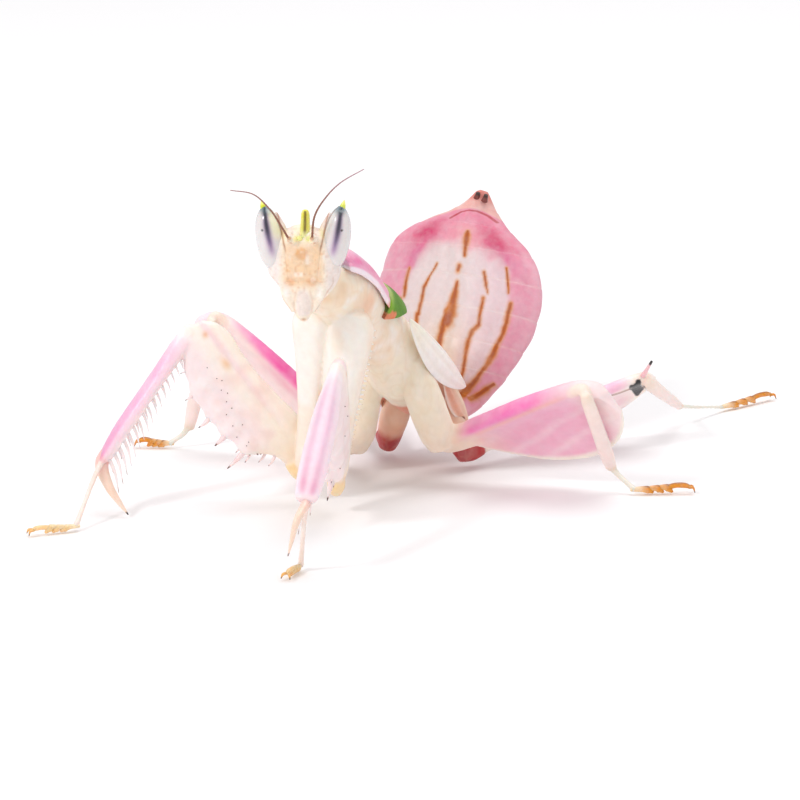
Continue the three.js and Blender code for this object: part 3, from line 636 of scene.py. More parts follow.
COXA_ROWS = {
    "left_fore": [
        [0, 1.1, 0.8],
        [0.08, 1.65, 1.2],
        [0.3, 1.6, 1.2],
        [0.6, 1.25, 1.0],
        [0.88, 0.9, 0.85],
        [0.96, 0.6, 0.6],
    ],
    "right_fore": [
        [0, 1.1, 0.8],
        [0.08, 1.55, 1.2],
        [0.3, 1.4, 1.2],
        [0.6, 1.05, 1.0],
        [0.88, 0.85, 0.85],
        [0.96, 0.6, 0.6],
    ],
    "mid": [[-0.2, 0.9, 0.7], [0.15, 1.35, 1.2], [0.5, 1.42, 1.3], [0.8, 1.38, 1.25], [1.0, 1.0, 0.9]],
    "hind": [[0.0, 0.9, 0.8], [0.3, 1.15, 1.1], [0.75, 0.98, 1.0], [1.0, 0.72, 0.72]],
}
COXA_BOW = 0.45
TROCHANTER_LENGTH = 1.25
TROCHANTER_ROWS = [[-0.25, 0.5, 0.55], [0.35, 0.68, 0.75], [1.0, 0.6, 0.7]]
MID_TROCHANTER_ROWS = [
    [-0.4, 0.5, 0.5, 0.5],
    [0.0, 0.85, 0.8, 1.2],
    [0.9, 0.8, 0.8, 1.6],
    [1.9, 0.5, 0.6, 1.9],
]
FORE_FEMUR = [
    [0.06, 0.5, 0.7, 0.5],
    [0.11, 0.6, 1.1, 0.6],
    [0.18, 0.8, 2.0, 0.9],
    [0.28, 0.95, 2.3, 2.0],
    [0.42, 0.95, 2.05, 2.7],
    [0.58, 0.9, 1.8, 3.0],
    [0.72, 0.85, 1.75, 3.0],
    [0.86, 0.75, 1.9, 2.3],
    [0.96, 0.65, 1.6, 1.7],
    [1.01, 0.45, 1.0, 1.1],
]
FORE_TIBIA = [
    [0.0, 0.5, 0.9, 0.4],
    [0.14, 0.65, 0.95, 0.42],
    [0.4, 0.95, 0.8, 0.4],
    [0.75, 1.02, 0.68, 0.5],
    [0.92, 0.92, 0.45, 0.6],
    [1.0, 0.75, 0.22, 0.5],
]
# Spines of a fore femur: length along it and depth at the root, the same for the tip, the side, and
# the radius at the root.
FEMUR_SPINES = [
    [11.3, 2.0, 11.5, 2.8, 0.15, 0.12],
    [9.7, 2.75, 9.7, 3.7, 0.15, 0.16],
    [7.6, 3.0, 7.5, 4.1, 0.15, 0.22],
    [6.0, 2.5, 5.7, 3.95, 0.15, 0.3],
    [4.1, 2.2, 3.75, 4.2, -0.1, 0.26],
    [3.8, 2.0, 3.3, 2.9, -0.15, 0.16],
    [4.6, 2.2, 4.3, 3.0, -0.15, 0.16],
    [3.0, 1.3, 2.7, 2.1, -0.15, 0.14],
    [2.4, 1.0, 2.1, 1.7, 0.15, 0.13],
]
# The two rows of a fore tibia's comb: count, side, and the longest spine.
COMB = [(16, 0.3, 2.0), (9, -0.3, 0.9)]
COMB_SHORTEST = 0.55
COMB_START, COMB_END = 0.2, 0.96  # shares of the tibia
# The claw's bend and tip: beyond the tibia's end, towards its inner side, and towards the front.
CLAWS = {
    "left_fore": ([1.9, -0.1, 0.25], [3.34, 2.18, 0.63]),
    "right_fore": ([1.29, 1.6, 0.33], [2.12, 3.85, 1.0]),
}
CLAW_RADII = {"left_fore": (0.34, 0.26), "right_fore": (0.44, 0.32)}


def fore_coxa(name, limb):
    bow = -COXA_BOW if limb.root[0] > 0 else COXA_BOW
    rows = stations_between(limb.root, limb.hip, COXA_ROWS[name], bow)
    coxa = loft(rows, FRONT, rows=90, sides=48, edge=0.8, tint="f7eadc", fold=0.2)
    coxa.paint(WHITE, 0.75 * ramp(coxa.facing(FRONT), 0.1, 0.8))
    coxa.paint(PEACH, 0.25 * ramp(grain(coxa.points, 1.6, 5), 0.1, 0.7))
    coxa.paint("f0d2a8", 0.55 * ramp(coxa.along, 0.75, 1.0))
    coxa.push(-0.1 * band(np.abs(coxa.around), 0.9, 0.22) * ramp(coxa.along, 0.05, 0.25))
    return coxa


def fore_femur(limb):
    rows = stations_between(limb.hip, limb.knee, FORE_FEMUR)
    femur = loft(rows, -limb.inner, rows=150, sides=80, edge=0.8, tint="f6ece2", fold=0.1)
    share, depth = np.moveaxis(limb.in_plane(femur.points), -1, 0)
    femur.paint("f3e2e4", 0.85 * ramp(depth, -0.4, 1.4) * ramp(share, 0.1, 0.4))
    femur.paint("f4dfc2", 0.7 * ramp(share, 0.36, 0.1))
    # Painted shade: a lilac-pink band along the groove near the dorsal edge, for the shade inside the
    # groove.
    femur.paint("f3d0dc", 0.6 * band(depth, -0.95 + 0.3 * share, 0.3) * ramp(share, 0.2, 0.75))
    femur.paint("f0d2cc", 0.45 * ramp(grain(femur.points, 0.8, 7), 0.1, 0.7))
    femur.paint("e6ab5e", 0.6 * band(share, 0.76, 0.035) * band(depth, -0.25, 0.25))
    femur.paint("e2a15c", 0.75 * band(share, 0.955, 0.015) * band(depth, -0.34, 0.2))
    femur.paint("e8b070", 0.65 * band(share, 1.0, 0.012) * band(depth, 0.48, 0.16))
    femur.push(-0.14 * band(depth, -0.85, 0.3) * ramp(share, 0.2, 0.4) * ramp(share, 1.0, 0.9))
    femur.push(0.1 * band(depth, 0.35, 0.6) * ramp(share, 0.2, 0.5) * ramp(share, 1.0, 0.85))
    for length, _, _, _, _, radius in FEMUR_SPINES:
        hump = band(share * limb.length, length, 0.35 + radius) * ramp(depth, 1.2, 2.2)
        femur.push(radius * 1.1 * hump)
    return femur


def fore_tibia(name, limb):
    rows = stations_between(limb.knee, limb.ankle, FORE_TIBIA)
    tibia = loft(rows, -limb.inward, rows=120, sides=64, tint="f8eaec", fold=0.0)
    outer = np.abs(tibia.around)
    if name == "left_fore":
        reach = ramp(tibia.along, 0.04, 0.4) * ramp(tibia.along, 1.02, 0.85)
        tibia.paint("f2dce6", 0.8 * ramp(tibia.along, 0.1, 0.4) * ramp(outer, 2.3, 1.2))
        stripe = band(outer, 0.44 - 0.2 * ramp(tibia.along, 0.4, 0.0), 0.3) * reach
        tibia.paint("d9b0c8", 0.85 * stripe * ramp(tibia.along, 1.1, 0.3))
        tibia.paint("dd98b4", 0.8 * stripe * ramp(tibia.along, 0.4, 0.85))
        tibia.paint("f3d8e4", 0.5 * band(outer, 0, 0.12) * reach)
        tibia.paint("f3d6d6", 0.7 * ramp(tibia.along, 0.9, 1.0))
        tibia.push(-0.05 * band(outer, 0, 0.15) * reach)
    else:
        reach = ramp(tibia.along, 0.08, 0.25)
        tibia.paint("f0cfdc", 0.85 * reach * ramp(outer, 2.4, 1.5))
        strong = reach * ramp(outer, 1.45, 0.85)
        tibia.paint("e8b2d0", 0.85 * strong * ramp(tibia.along, 0.1, 0.4))
        tibia.paint("e58fbb", 0.75 * strong * ramp(tibia.along, 0.45, 0.85))
        tibia.paint("f4dfe0", 0.7 * ramp(outer, 1.9, 2.5) * reach)
        tibia.paint("f3b3b0", 0.6 * ramp(tibia.along, 0.9, 1.0))
    tibia.paint("f8ebe2", 0.8 * ramp(tibia.along, 0.14, 0.03))
    return tibia


def basitarsus(limb, tint, radius):
    """The thin first piece of the foot, from the ankle to the heel."""
    places = [
        limb.ankle + (limb.knee - limb.ankle) * 0.04,
        limb.ankle + (limb.heel - limb.ankle) * 0.3,
        limb.ankle + (limb.heel - limb.ankle) * 0.7,
        limb.heel,
    ]
    sizes = [radius * 1.25, radius, radius * 0.92, radius * 1.15]
    return loft(round_stations(places, sizes), UP, rows=50, sides=20, tint=tint).lift(0.05)


def fore_leg_shells(name):
    limb = LIMBS[name]
    end = limb.hip + limb.along * TROCHANTER_LENGTH
    trochanter_rows = stations_between(limb.hip, end, TROCHANTER_ROWS)
    trochanter = loft(trochanter_rows, -limb.inner, rows=30, tint="f3d6a8", fold=0.2)
    coxa, femur, tibia = fore_coxa(name, limb), fore_femur(limb), fore_tibia(name, limb)
    return [coxa, trochanter, femur, tibia, basitarsus(limb, "f0dcd4", 0.2)]


def comb_of(limb):
    """The spines along the inner edge of a fore tibia, longer and longer towards the ankle."""
    shells = []
    for count, side, longest in COMB:
        for at in np.linspace(0, 1, count):
            reach = COMB_SHORTEST + (longest - COMB_SHORTEST) * at**1.5
            share = COMB_START + (COMB_END - COMB_START) * at
            root = limb.on_tibia(share, 0.15, side)
            tip = limb.on_tibia(share, 0.45 + reach, side * 1.1) + limb.shin * reach * 0.85
            dark = "5a3a34" if at > 0.8 else "cdbcc4"
            curve = limb.shin * -0.1 * reach
            radius = 0.09 + 0.07 * at
            spine = thorn(root, tip, radius, curve, tint="f6e8e8", point_tint=dark, blackened=0.08, sides=8)
            shells.append(spine)
    return shells


def claw_of(name, limb):
    """The strong claw that goes on from the end of a fore tibia and curves inwards."""
    bend, end = (
        limb.ankle + limb.shin * reach + limb.inward * depth + limb.front * forward
        for reach, depth, forward in CLAWS[name]
    )
    end[2] = max(end[2], 0.2)
    wide, narrow = CLAW_RADII[name]
    stations = [
        [limb.on_tibia(0.9, 0.1), wide, wide * 1.2],
        [limb.on_tibia(1, 0.25) + limb.shin * 0.3, wide, wide * 1.15],
        [bend, narrow, narrow * 1.1],
        [(bend + end) / 2 + (bend - limb.ankle) * 0.06, narrow * 0.62, narrow * 0.66],
        [end, 0.04, 0.05],
    ]
    claw = loft(stations, limb.inward, rows=70, sides=24, tint="f1d6c4")
    claw.paint("f5bcbc", 0.8 * ramp(claw.along, 0.45, 0.1))
    tip_tint = BLACK if name == "right_fore" else "8d8284"
    claw.paint(tip_tint, ramp(claw.along, 0.93, 0.97))
    return claw.lift(0.02)


def fore_spines(name):
    """The spines of one fore leg: those of the femur, the comb of the tibia, and the tibia's claw."""
    limb = LIMBS[name]
    pale = "f3dcdc"
    shells = []
    for root_length, root_depth, tip_length, tip_depth, side, radius in FEMUR_SPINES:
        root = limb.on_femur(root_length / limb.length, root_depth - 0.15, side)
        tip = limb.on_femur(tip_length / limb.length, tip_depth, side * 1.3)
        bend = limb.along * -0.06
        shells.append(thorn(root, tip, radius, bend, tint=pale, point_tint="4a2c26", blackened=0.12))
    return shells + comb_of(limb) + [claw_of(name, limb)]


# ---------------------------------------------------------------- walking legs

# A walking femur is a stout rod with a petal that hangs from it. Rows: place of the back edge and place
# of the petal's rim, both as share of the femur's length and depth towards the tibia.
PETAL_ROWS = [
    (0.02, -0.35, 0.02, 0.45),
    (0.1, -0.45, 0.1, 0.8),
    (0.18, -0.62, 0.16, 2.1),
    (0.37, -0.72, 0.32, 4.2),
    (0.6, -0.78, 0.49, 6.1),
    (0.82, -0.62, 0.68, 7.0),
    (0.95, -0.4, 0.86, 6.5),
    (1.03, 0.2, 0.98, 5.3),
    (1.08, 1.4, 1.055, 3.8),
]
# For middle and hind legs: the petal's depth as a share, the rod's thickness, and how far both lie behind
# the knee's middle.
FORMS = {"mid": (1.0, 1.5, 0.6), "hind": (0.72, 1.05, 0.2)}
PETAL_THICKNESS = 0.42
PETAL_ROWS_COUNT = 150
PETAL_SIDES = 40  # of each face
ROD_DEPTH = 1.5
ROD_ROUNDING = 0.7
RIM_ROUNDING = 0.25
TIBIA_SETFORTH = {"mid": 0.45, "hind": 0.3}
# How far beyond the knee each walking tibia is hinged.
KNEE_OFFSETS = {"left_mid": 0.3, "right_mid": 0.0, "left_hind": 0.0, "right_hind": 0.0}
TIBIA_ROWS = {
    "mid": [[0.0, 0.36, 0.36], [0.12, 0.5, 0.42], [0.45, 0.55, 0.42], [0.8, 0.57, 0.42], [0.98, 0.42, 0.36]],
    "hind": [[0.0, 0.4, 0.4], [0.12, 0.55, 0.5], [0.45, 0.5, 0.46], [0.8, 0.42, 0.38], [0.98, 0.3, 0.28]],
}


def kind_of(name):
    return "mid" if "mid" in name else "hind"


def petal_shell(name, limb):
    """The walking femur: along runs from hip to knee, and across from the back edge (0) to the rim (1)."""
    at = np.linspace(0, 1, PETAL_ROWS_COUNT)
    values = spline(PETAL_ROWS, at)
    depth, rod, setback = FORMS[kind_of(name)]
    base = limb.hip - limb.front * setback
    top = base + limb.along * values[:, :1] * limb.length + limb.inner * values[:, 1:2]
    low_depth = np.maximum(0.45 + 0.3 * ramp(at, 0, 0.2), values[:, 3] * depth)[:, None]
    low = base + limb.along * values[:, 2:3] * limb.length + limb.inner * low_depth
    turn = math.pi * np.arange(PETAL_SIDES) / (PETAL_SIDES - 1)
    across = (1 - np.cos(turn)) / 2
    reach = np.linalg.norm(low - top, axis=1)[:, None]
    body = PETAL_THICKNESS + (rod - PETAL_THICKNESS) * np.exp(-((across * reach / ROD_DEPTH) ** 2))
    round_top = np.sqrt(np.clip(1 - np.clip(1 - across * reach / ROD_ROUNDING, 0, 1) ** 2, 0, 1))
    round_rim = np.sqrt(np.clip(1 - np.clip(1 - (1 - across) * reach / RIM_ROUNDING, 0, 1) ** 2, 0, 1))
    ends = ramp(at, -0.02, 0.06) * ramp(at, 1.0, 0.93)
    thick = 0.5 * body * round_top * round_rim * (0.35 + 0.65 * ends[:, None])
    wave = 0.22 * np.sin(across * math.pi) * np.sin(at * math.pi)[:, None]
    ripple = 0.07 * np.sin(at * 17 + 1)[:, None] * across**2
    middle = top[:, None] + (low - top)[:, None] * across[None, :, None]
    middle = middle + limb.front * (ripple - wave * depth)[..., None]
    front = middle + limb.front * thick[..., None]
    rear = middle - limb.front * thick[..., None]
    points = np.concatenate([front, rear[:, ::-1]], axis=1)
    return Shell(points, at, np.concatenate([across, across[::-1]]))


def paint_mid_petal(name, petal, share, depth, veins):
    petal.paint("edb9cd", 1.0)
    petal.paint("eaa8c4", 0.6 * band(share, 0.62, 0.25) * band(depth, 2.0, 1.6))
    petal.paint("f3d2c8", 0.85 * ramp(share, 0.4, 0.12))
    petal.paint("f4e0e4", 0.4 * veins * ramp(depth, 0.8, 3))
    petal.paint("f6e7e4", 0.8 * ramp(share, 0.78, 1.02))
    petal.paint("f1eade", 0.9 * ramp(petal.around, 0.9, 0.95))
    line = -0.05 - 0.75 * share
    inside = ramp(share, 0.16, 0.3) * ramp(share, 0.95, 0.75)
    petal.paint("f2bcae", 0.8 * band(depth, line + 0.6, 0.25) * inside)
    strong = ramp(share, 0.12, 0.24) * ramp(share, 0.86, 0.6)
    petal.paint(MAGENTA, 0.9 * strong * band(depth, line - 0.05, 0.45))
    petal.paint("e9a6dc", 0.75 * strong * ramp(depth, line - 0.3, line - 0.7))
    if name == "right_mid":
        petal.paint("f1dfdc", 0.9 * ramp(depth, line - 0.1, line + 0.5))
        petal.paint("e99cb4", 0.6 * ramp(share, 0.75, 0.5) * band(depth, line + 0.7, 0.5))
        petal.paint("ec78b4", 0.85 * ramp(depth, line + 0.35, line - 0.1))
        petal.paint("dc4e96", 0.7 * ramp(depth, line + 0.1, line - 0.3) * ramp(share, 0.85, 0.5))
        petal.paint("f4dbe4", 0.85 * ramp(share, 0.9, 1.03))


def paint_hind_petal(petal, share, depth, veins):
    petal.paint("f7e6e6", 1.0)
    petal.paint("f6e9d8", 0.7 * band(depth, 0.35, 0.5))
    petal.paint("efb9d4", 0.85 * ramp(depth, 0.15, -0.5) * ramp(share, 0.2, 0.5) * ramp(share, 1.0, 0.8))
    petal.paint("f2c0d0", 0.5 * ramp(depth, 1.0, 2.4))
    petal.paint(WHITE, 0.4 * veins)
    petal.paint("f8efe6", 0.8 * ramp(share, 0.86, 0.97))


def paint_petal(name, limb, petal):
    share, depth = np.moveaxis(limb.in_plane(petal.points), -1, 0)
    veins = band(np.sin(depth * 3.1 + share * 9 + grain(petal.points, 2.5, 8)), 1, 0.5)
    if kind_of(name) == "mid":
        paint_mid_petal(name, petal, share, depth, veins)
    else:
        paint_hind_petal(petal, share, depth, veins)
    petal.paint("f3d4c2", 0.7 * ramp(share, 0.16, 0.04))
    return petal


def walking_leg_shells(name):
    limb = LIMBS[name]
    kind = kind_of(name)
    coxa_rows = stations_between(limb.root, limb.hip, COXA_ROWS[kind])
    coxa = loft(coxa_rows, FRONT, rows=70, sides=48, tint=CREAM, fold=0.5)
    coxa.paint("f4dccc", 0.6 * ramp(coxa.along, 0.4, 0.95))
    if kind == "hind":
        coxa.paint("ecc4aa", 0.9)
        # Painted shade: the hind coxa darkens through orange-red to dark red towards the hip, where it lies
        # in shade under the body.
        coxa.paint("e09c80", 0.5 * ramp(coxa.along, 0.35, 0.55))
        coxa.paint(UNDERSIDE_SHADE_RED, ramp(coxa.along, 0.52, 0.68))
    _, _, setback = FORMS[kind]
    # Painted shade: the hind trochanters are painted the dark red of shade under the body.
    rows, tint = (MID_TROCHANTER_ROWS, "f3dac8") if kind == "mid" else (TROCHANTER_ROWS, UNDERSIDE_SHADE_RED)
    start = limb.hip - limb.front * setback * 0.8
    end = limb.hip + limb.along * TROCHANTER_LENGTH - limb.front * setback
    trochanter = loft(stations_between(start, end, rows), -limb.inner, rows=30, tint=tint, fold=0.2)
    petal = paint_petal(name, limb, petal_shell(name, limb))
    knee_front = limb.knee + limb.front * TIBIA_SETFORTH[kind] + limb.along * KNEE_OFFSETS[name]
    tibia_rows = stations_between(knee_front, limb.ankle, TIBIA_ROWS[kind])
    tibia = loft(tibia_rows, limb.front, rows=90, sides=32, tint="f0dfd2")
    tibia.paint("f2dedc", 0.7 * ramp(tibia.along, 0.1, 0.5))
    tibia.paint("c8bc98", 0.5 * ramp(tibia.along, 0.88, 1.0))
    size = 0.42 if kind == "mid" else 0.4
    knee_rows = [
        [limb.knee - limb.along * 1.2 - limb.front * setback * 0.6, size * 0.8, size * 0.85],
        [limb.knee - limb.front * 0.1, size, size * 1.05],
        [knee_front + limb.shin * 0.8, size * 0.95, size * 0.95],
    ]
    knee = loft(knee_rows, limb.front, rows=30, sides=32, tint="f3e0d4")
    shank = basitarsus(limb, "e2ddd2", 0.22 if kind == "mid" else 0.15)
    return [coxa, trochanter, petal, knee, tibia, shank]


# ---------------------------------------------------------------- the skin

SKIN_VOXEL = 0.1
# Folds of the flank: lines on it, height, and breadth.
FOLDS = [
    ([[2.2, -3.84, 12.85], [2.2, -4.34, 11.3], [2.2, -4.01, 8.34]], 0.16, 0.32),
    ([[2.6, -2.98, 12.1], [2.6, -3.32, 10.2], [2.6, -2.29, 7.36]], 0.16, 0.34),
    ([[2.0, -8.07, 11.6], [2.0, -6.1, 11.08], [2.0, -4.27, 10.43]], -0.12, 0.2),
    ([[1.5, -8.22, 8.28], [1.5, -5.92, 7.35], [1.5, -2.91, 6.08]], -0.1, 0.25),
]


# Marks of a hind knee, as seen from ahead and a little from the outer side: paths of [outwards, upwards]
# from the knee, half breadth, and colour.
KNEE_VIEW = [
    np.array([0.8988, 0.4384, 0.0]),
    np.array([-0.1135, 0.2326, 0.9659]),
    np.array([0.4234, -0.8682, 0.2588]),
]
KNEE_REACH = 4.0
KNEE_MARKS = [
    ([[-3.0, -1.5], [-1.9, -1.15], [-1.1, -0.85]], 0.06, "9a5c48"),
    ([[-1.0, -0.72], [-0.5, -0.8], [-0.12, -0.8]], 0.2, JET),
    ([[-0.5, -0.32], [-0.5, -0.8], [-0.4, -1.16]], 0.22, JET),
    ([[-0.58, -0.74], [-0.42, -0.9]], 0.38, JET),
]


def mark_hind_knees(points, normals, tints):
    """Black blotches and thin brown lines on the faces of the hind knees."""
    for side, name in ((1, "left_hind"), (-1, "right_hind")):
        outwards, upwards, facing = (direction * [side, 1, 1] for direction in KNEE_VIEW)
        away = points - LIMBS[name].knee
        flat = np.stack([away @ outwards, away @ upwards], -1)
        seen = (np.linalg.norm(away, axis=1) < KNEE_REACH) * ramp(normals @ facing, 0.0, 0.2)
        for path, breadth, tint in KNEE_MARKS:
            off, _ = distance_to_path(flat, path)
            mask = seen * ramp(off, breadth + 0.05, breadth - 0.04)
            tints = blended(tints, tint, mask)
    return tints


def make_skin():
    shells = trunk_shells()
    nodes = ["neck", "prothorax", "mesothorax", "metathorax"]
    for name in FORE_LEGS:
        shells += fore_leg_shells(name)
    for name in WALKING_LEGS:
        shells += walking_leg_shells(name)
    for name in LEGS:
        nodes += [f"{name}_{part}" for part in ("coxa", "trochanter", "femur", "tibia")]
    mesh, points, tints, folds = united("body_skin", shells, SKIN_VOXEL, rounds=5)
    normals = coordinates(mesh, "normals")
    stretched = points * np.array([1.0, 1.0, 0.5])
    creases = np.abs(grain(stretched, 0.5, 11)) - 0.35
    height = folds * (0.05 * creases + 0.1 * grain(points, 1.2, 12)) + 0.012 * grain(points, 0.3, 13)
    for line, rise, breadth in FOLDS:
        away, _ = distance_to_path(points, line)
        mark = rise * band(away, 0, breadth)
        height = height + mark
        # Painted highlight: the raised folds are painted paler in step with their height.
        tints = blended(tints, "fbf3e8", np.clip(mark * 3, 0, 0.5))
    points = points + normals * height[:, None]
    mesh.vertices.foreach_set("co", points.astype(np.float32).ravel())
    # Painted shade: the bottoms of the fine creases are painted a darker beige.
    tints = blended(tints, "e0c09c", 0.18 * folds * ramp(creases, -0.1, -0.34))
    tints = mark_hind_knees(points, normals, tints)
    finished("body_skin", mesh, tints, SKIN, nodes)


make_skin()
for leg in FORE_LEGS:
    joined(f"{leg}_spines", fore_spines(leg), SPINE)

# ---------------------------------------------------------------- feet

FOOT_EDGES = np.array([0.0, 0.26, 0.44, 0.6])  # ends of the tarsomeres on the floor, as shares of the foot


def foot_shells(name):
    """Ochre tarsomeres on the floor, each with a lobe below its end, the last one arched, and two claws."""
    limb = LIMBS[name]
    toeward = unit(limb.toe - limb.heel)
    aside = unit(np.cross(toeward, UP))
    span = np.linalg.norm(limb.toe - limb.heel)
    fore = name in FORE_LEGS
    ground = limb.heel - UP * FOOT
    bulk = 0.85 if fore else 1.0
    edges = FOOT_EDGES * span
    shells = []
    for number, (start, end) in enumerate(zip(edges[:-1], edges[1:])):
        tint = "f3c890" if fore else ORANGE
        middle = ground + toeward * (start + end) / 2
        stations = [
            [ground + toeward * (start - 0.3) + UP * (0.44 + 0.05 * number), 0.15 * bulk, 0.15 * bulk],
            [middle + UP * (0.45 + 0.06 * number), 0.24 * bulk, 0.22 * bulk],
            [ground + toeward * (end - 0.05) + UP * (0.4 + 0.05 * number), 0.28 * bulk, 0.26 * bulk, 0.3],
            [ground + toeward * (end + 0.28) + UP * 0.2, 0.1 * bulk, 0.08 * bulk, 0.12],
        ]
        piece = loft(stations, UP, rows=30, sides=24, tint=tint)
        piece.paint("f0dfc0", (0.8 if number == 0 else 0.3) * ramp(piece.along, 0.7, 0.1))
        if not fore:
            piece.paint("7a3c10", 0.75 * ramp(piece.facing(UP), 0.5, 0.95) * ramp(piece.along, 0.2, 0.6))
            piece.paint("f0b860", 0.5 * ramp(piece.facing(-UP), 0.0, 0.7))
        shells.append(piece.lift(0.01))
    arch = [
        [ground + toeward * (edges[-1] - 0.3) + UP * 0.5, 0.2 * bulk, 0.2 * bulk],
        [ground + toeward * span * 0.72 + UP * 0.7 * bulk, 0.21 * bulk, 0.2 * bulk],
        [ground + toeward * span * 0.88 + UP * 0.68 * bulk, 0.22 * bulk, 0.2 * bulk],
        [ground + toeward * span * 0.97 + UP * 0.56 * bulk, 0.15 * bulk, 0.14 * bulk],
    ]
    last = loft(arch, UP, rows=34, sides=24, tint="f3c890" if fore else "dd8e2c")
    if not fore:
        last.paint("7a3c10", 0.6 * ramp(last.facing(UP), 0.5, 0.95))
    shells.append(last)
    for side in (-1, 1):
        root = arch[-1][0] - toeward * 0.08 + aside * side * 0.08
        middle = root + toeward * 0.3 + aside * side * 0.16 - UP * 0.02
        tip = root + toeward * 0.42 + aside * side * 0.26 - UP * 0.36 * bulk
        stations = [[root, 0.13 * bulk, 0.13 * bulk], [middle, 0.09, 0.1], [tip, 0.025, 0.025]]
        claw = loft(stations, aside, rows=22, sides=12, tint="eab26a" if fore else "d88a30")
        claw.paint("3a2414", ramp(claw.along, 0.7, 0.95))
        shells.append(claw.lift(0.01))
    return shells


for leg in LEGS:
    joined(f"{leg}_foot", foot_shells(leg), FOOT_SKIN, [f"{leg}_tarsus"])

# ---------------------------------------------------------------- head

FACE_VOXEL = 0.055
HEAD_TURN = math.radians(26)
MOUTH = np.array([0.0, -15.5, 15.9])


def from_head(points):
    """From the head's own frame, with its origin at the mouth, to the animal's."""
    cosine, sine = math.cos(HEAD_TURN), math.sin(HEAD_TURN)
    x, y, z = np.moveaxis(np.asarray(points, float), -1, 0)
    return np.stack([x * cosine - y * sine, x * sine + y * cosine, z], -1) + MOUTH


FACE = [
    [[0, -0.2, 1.35], 1.2, 0.75, 0.8],
    [[0.12, -0.15, 2.4], 2.0, 1.0, 1.1],
    [[0.14, -0.1, 3.3], 2.5, 1.15, 1.4],
    [[0, 0, 4.8], 2.65, 1.2, 1.5],
    [[0, 0.05, 5.7], 2.35, 1.05, 1.45],
    [[0, 0.1, 6.2], 1.7, 0.8, 1.2],
    [[0, 0.1, 6.5], 0.9, 0.4, 0.7],
]
EYE_ROWS = [
    [[2.06, 0, 3.7], 0.42, 0.42],
    [[2.12, -0.05, 4.2], 0.74, 0.74],
    [[2.24, -0.05, 5.1], 0.95, 0.97],
    [[2.38, -0.05, 6.1], 0.98, 1.02],
    [[2.53, -0.05, 7.0], 0.84, 0.88],
    [[2.63, 0, 7.65], 0.54, 0.58],
    [[2.68, 0, 8.0], 0.24, 0.26],
]
MOUTH_ROWS = [[[0, -0.1, -0.05], 0.28, 0.3], [[0, -0.2, 0.4], 0.6, 0.5], [[0, -0.2, 1.4], 1.15, 0.7]]
LABRUM = [
    [[0, -0.5, 0.35], 0.3, 0.12],
    [[0, -0.7, 0.75], 0.5, 0.18],
    [[0, -0.84, 1.3], 0.54, 0.2],
    [[0, -0.94, 2.0], 0.4, 0.16],
    [[0, -0.95, 2.5], 0.26, 0.1],
]
ANTENNA_JOINTS = 34
ANTENNA_ROWS = ANTENNA_JOINTS * 6
ANTENNAE = {
    "right_antenna": [
        [-0.95, -1.4, 6.0],
        [-1.5, -1.7, 7.05],
        [-2.25, -1.7, 8.2],
        [-3.4, -1.6, 9.25],
        [-5.0, -1.4, 9.5],
    ],
    "left_antenna": [
        [0.65, -1.4, 6.0],
        [0.85, -1.7, 7.7],
        [1.6, -1.7, 9.0],
        [2.7, -1.6, 10.1],
        [4.3, -1.4, 11.0],
    ],
}


def head_shells():
    shells = [
        loft(FACE, FRONT, rows=90, sides=72),
        loft(MOUTH_ROWS, FRONT, rows=40, sides=48),
        loft(LABRUM, FRONT, rows=40, sides=32),
    ]
    for side in (-1, 1):
        cheek = [
            [[0.62 * side, -0.45, 0.7], 0.25, 0.2],
            [[1.05 * side, -0.62, 1.7], 0.42, 0.3],
            [[1.3 * side, -0.72, 2.7], 0.4, 0.28],
            [[1.4 * side, -0.7, 3.3], 0.2, 0.14],
        ]
        lobe = [
            [[1.3 * side, 0, 5.3], 0.5, 0.6],
            [[1.5 * side, 0.02, 6.3], 0.4, 0.5],
            [[1.7 * side, 0.05, 7.0], 0.26, 0.32],
            [[1.9 * side, 0.05, 7.6], 0.1, 0.12],
        ]
        socket = [[[0.74 * side, -0.85, 5.85], 0.34, 0.34], [[0.75 * side, -1.28, 5.95], 0.27, 0.27]]
        brow = [
            [[0.2 * side, -0.75, 5.75], 0.25, 0.2],
            [[0.5 * side, -0.85, 6.15], 0.28, 0.2],
            [[0.75 * side, -0.75, 6.4], 0.12, 0.1],
        ]
        shells += [
            loft(cheek, FRONT, rows=36, sides=28),
            loft(lobe, FRONT, rows=36, sides=28),
            loft(socket, UP, rows=14, sides=28, dome=0.3),
            loft(brow, FRONT, rows=20, sides=20),
        ]
    return shells


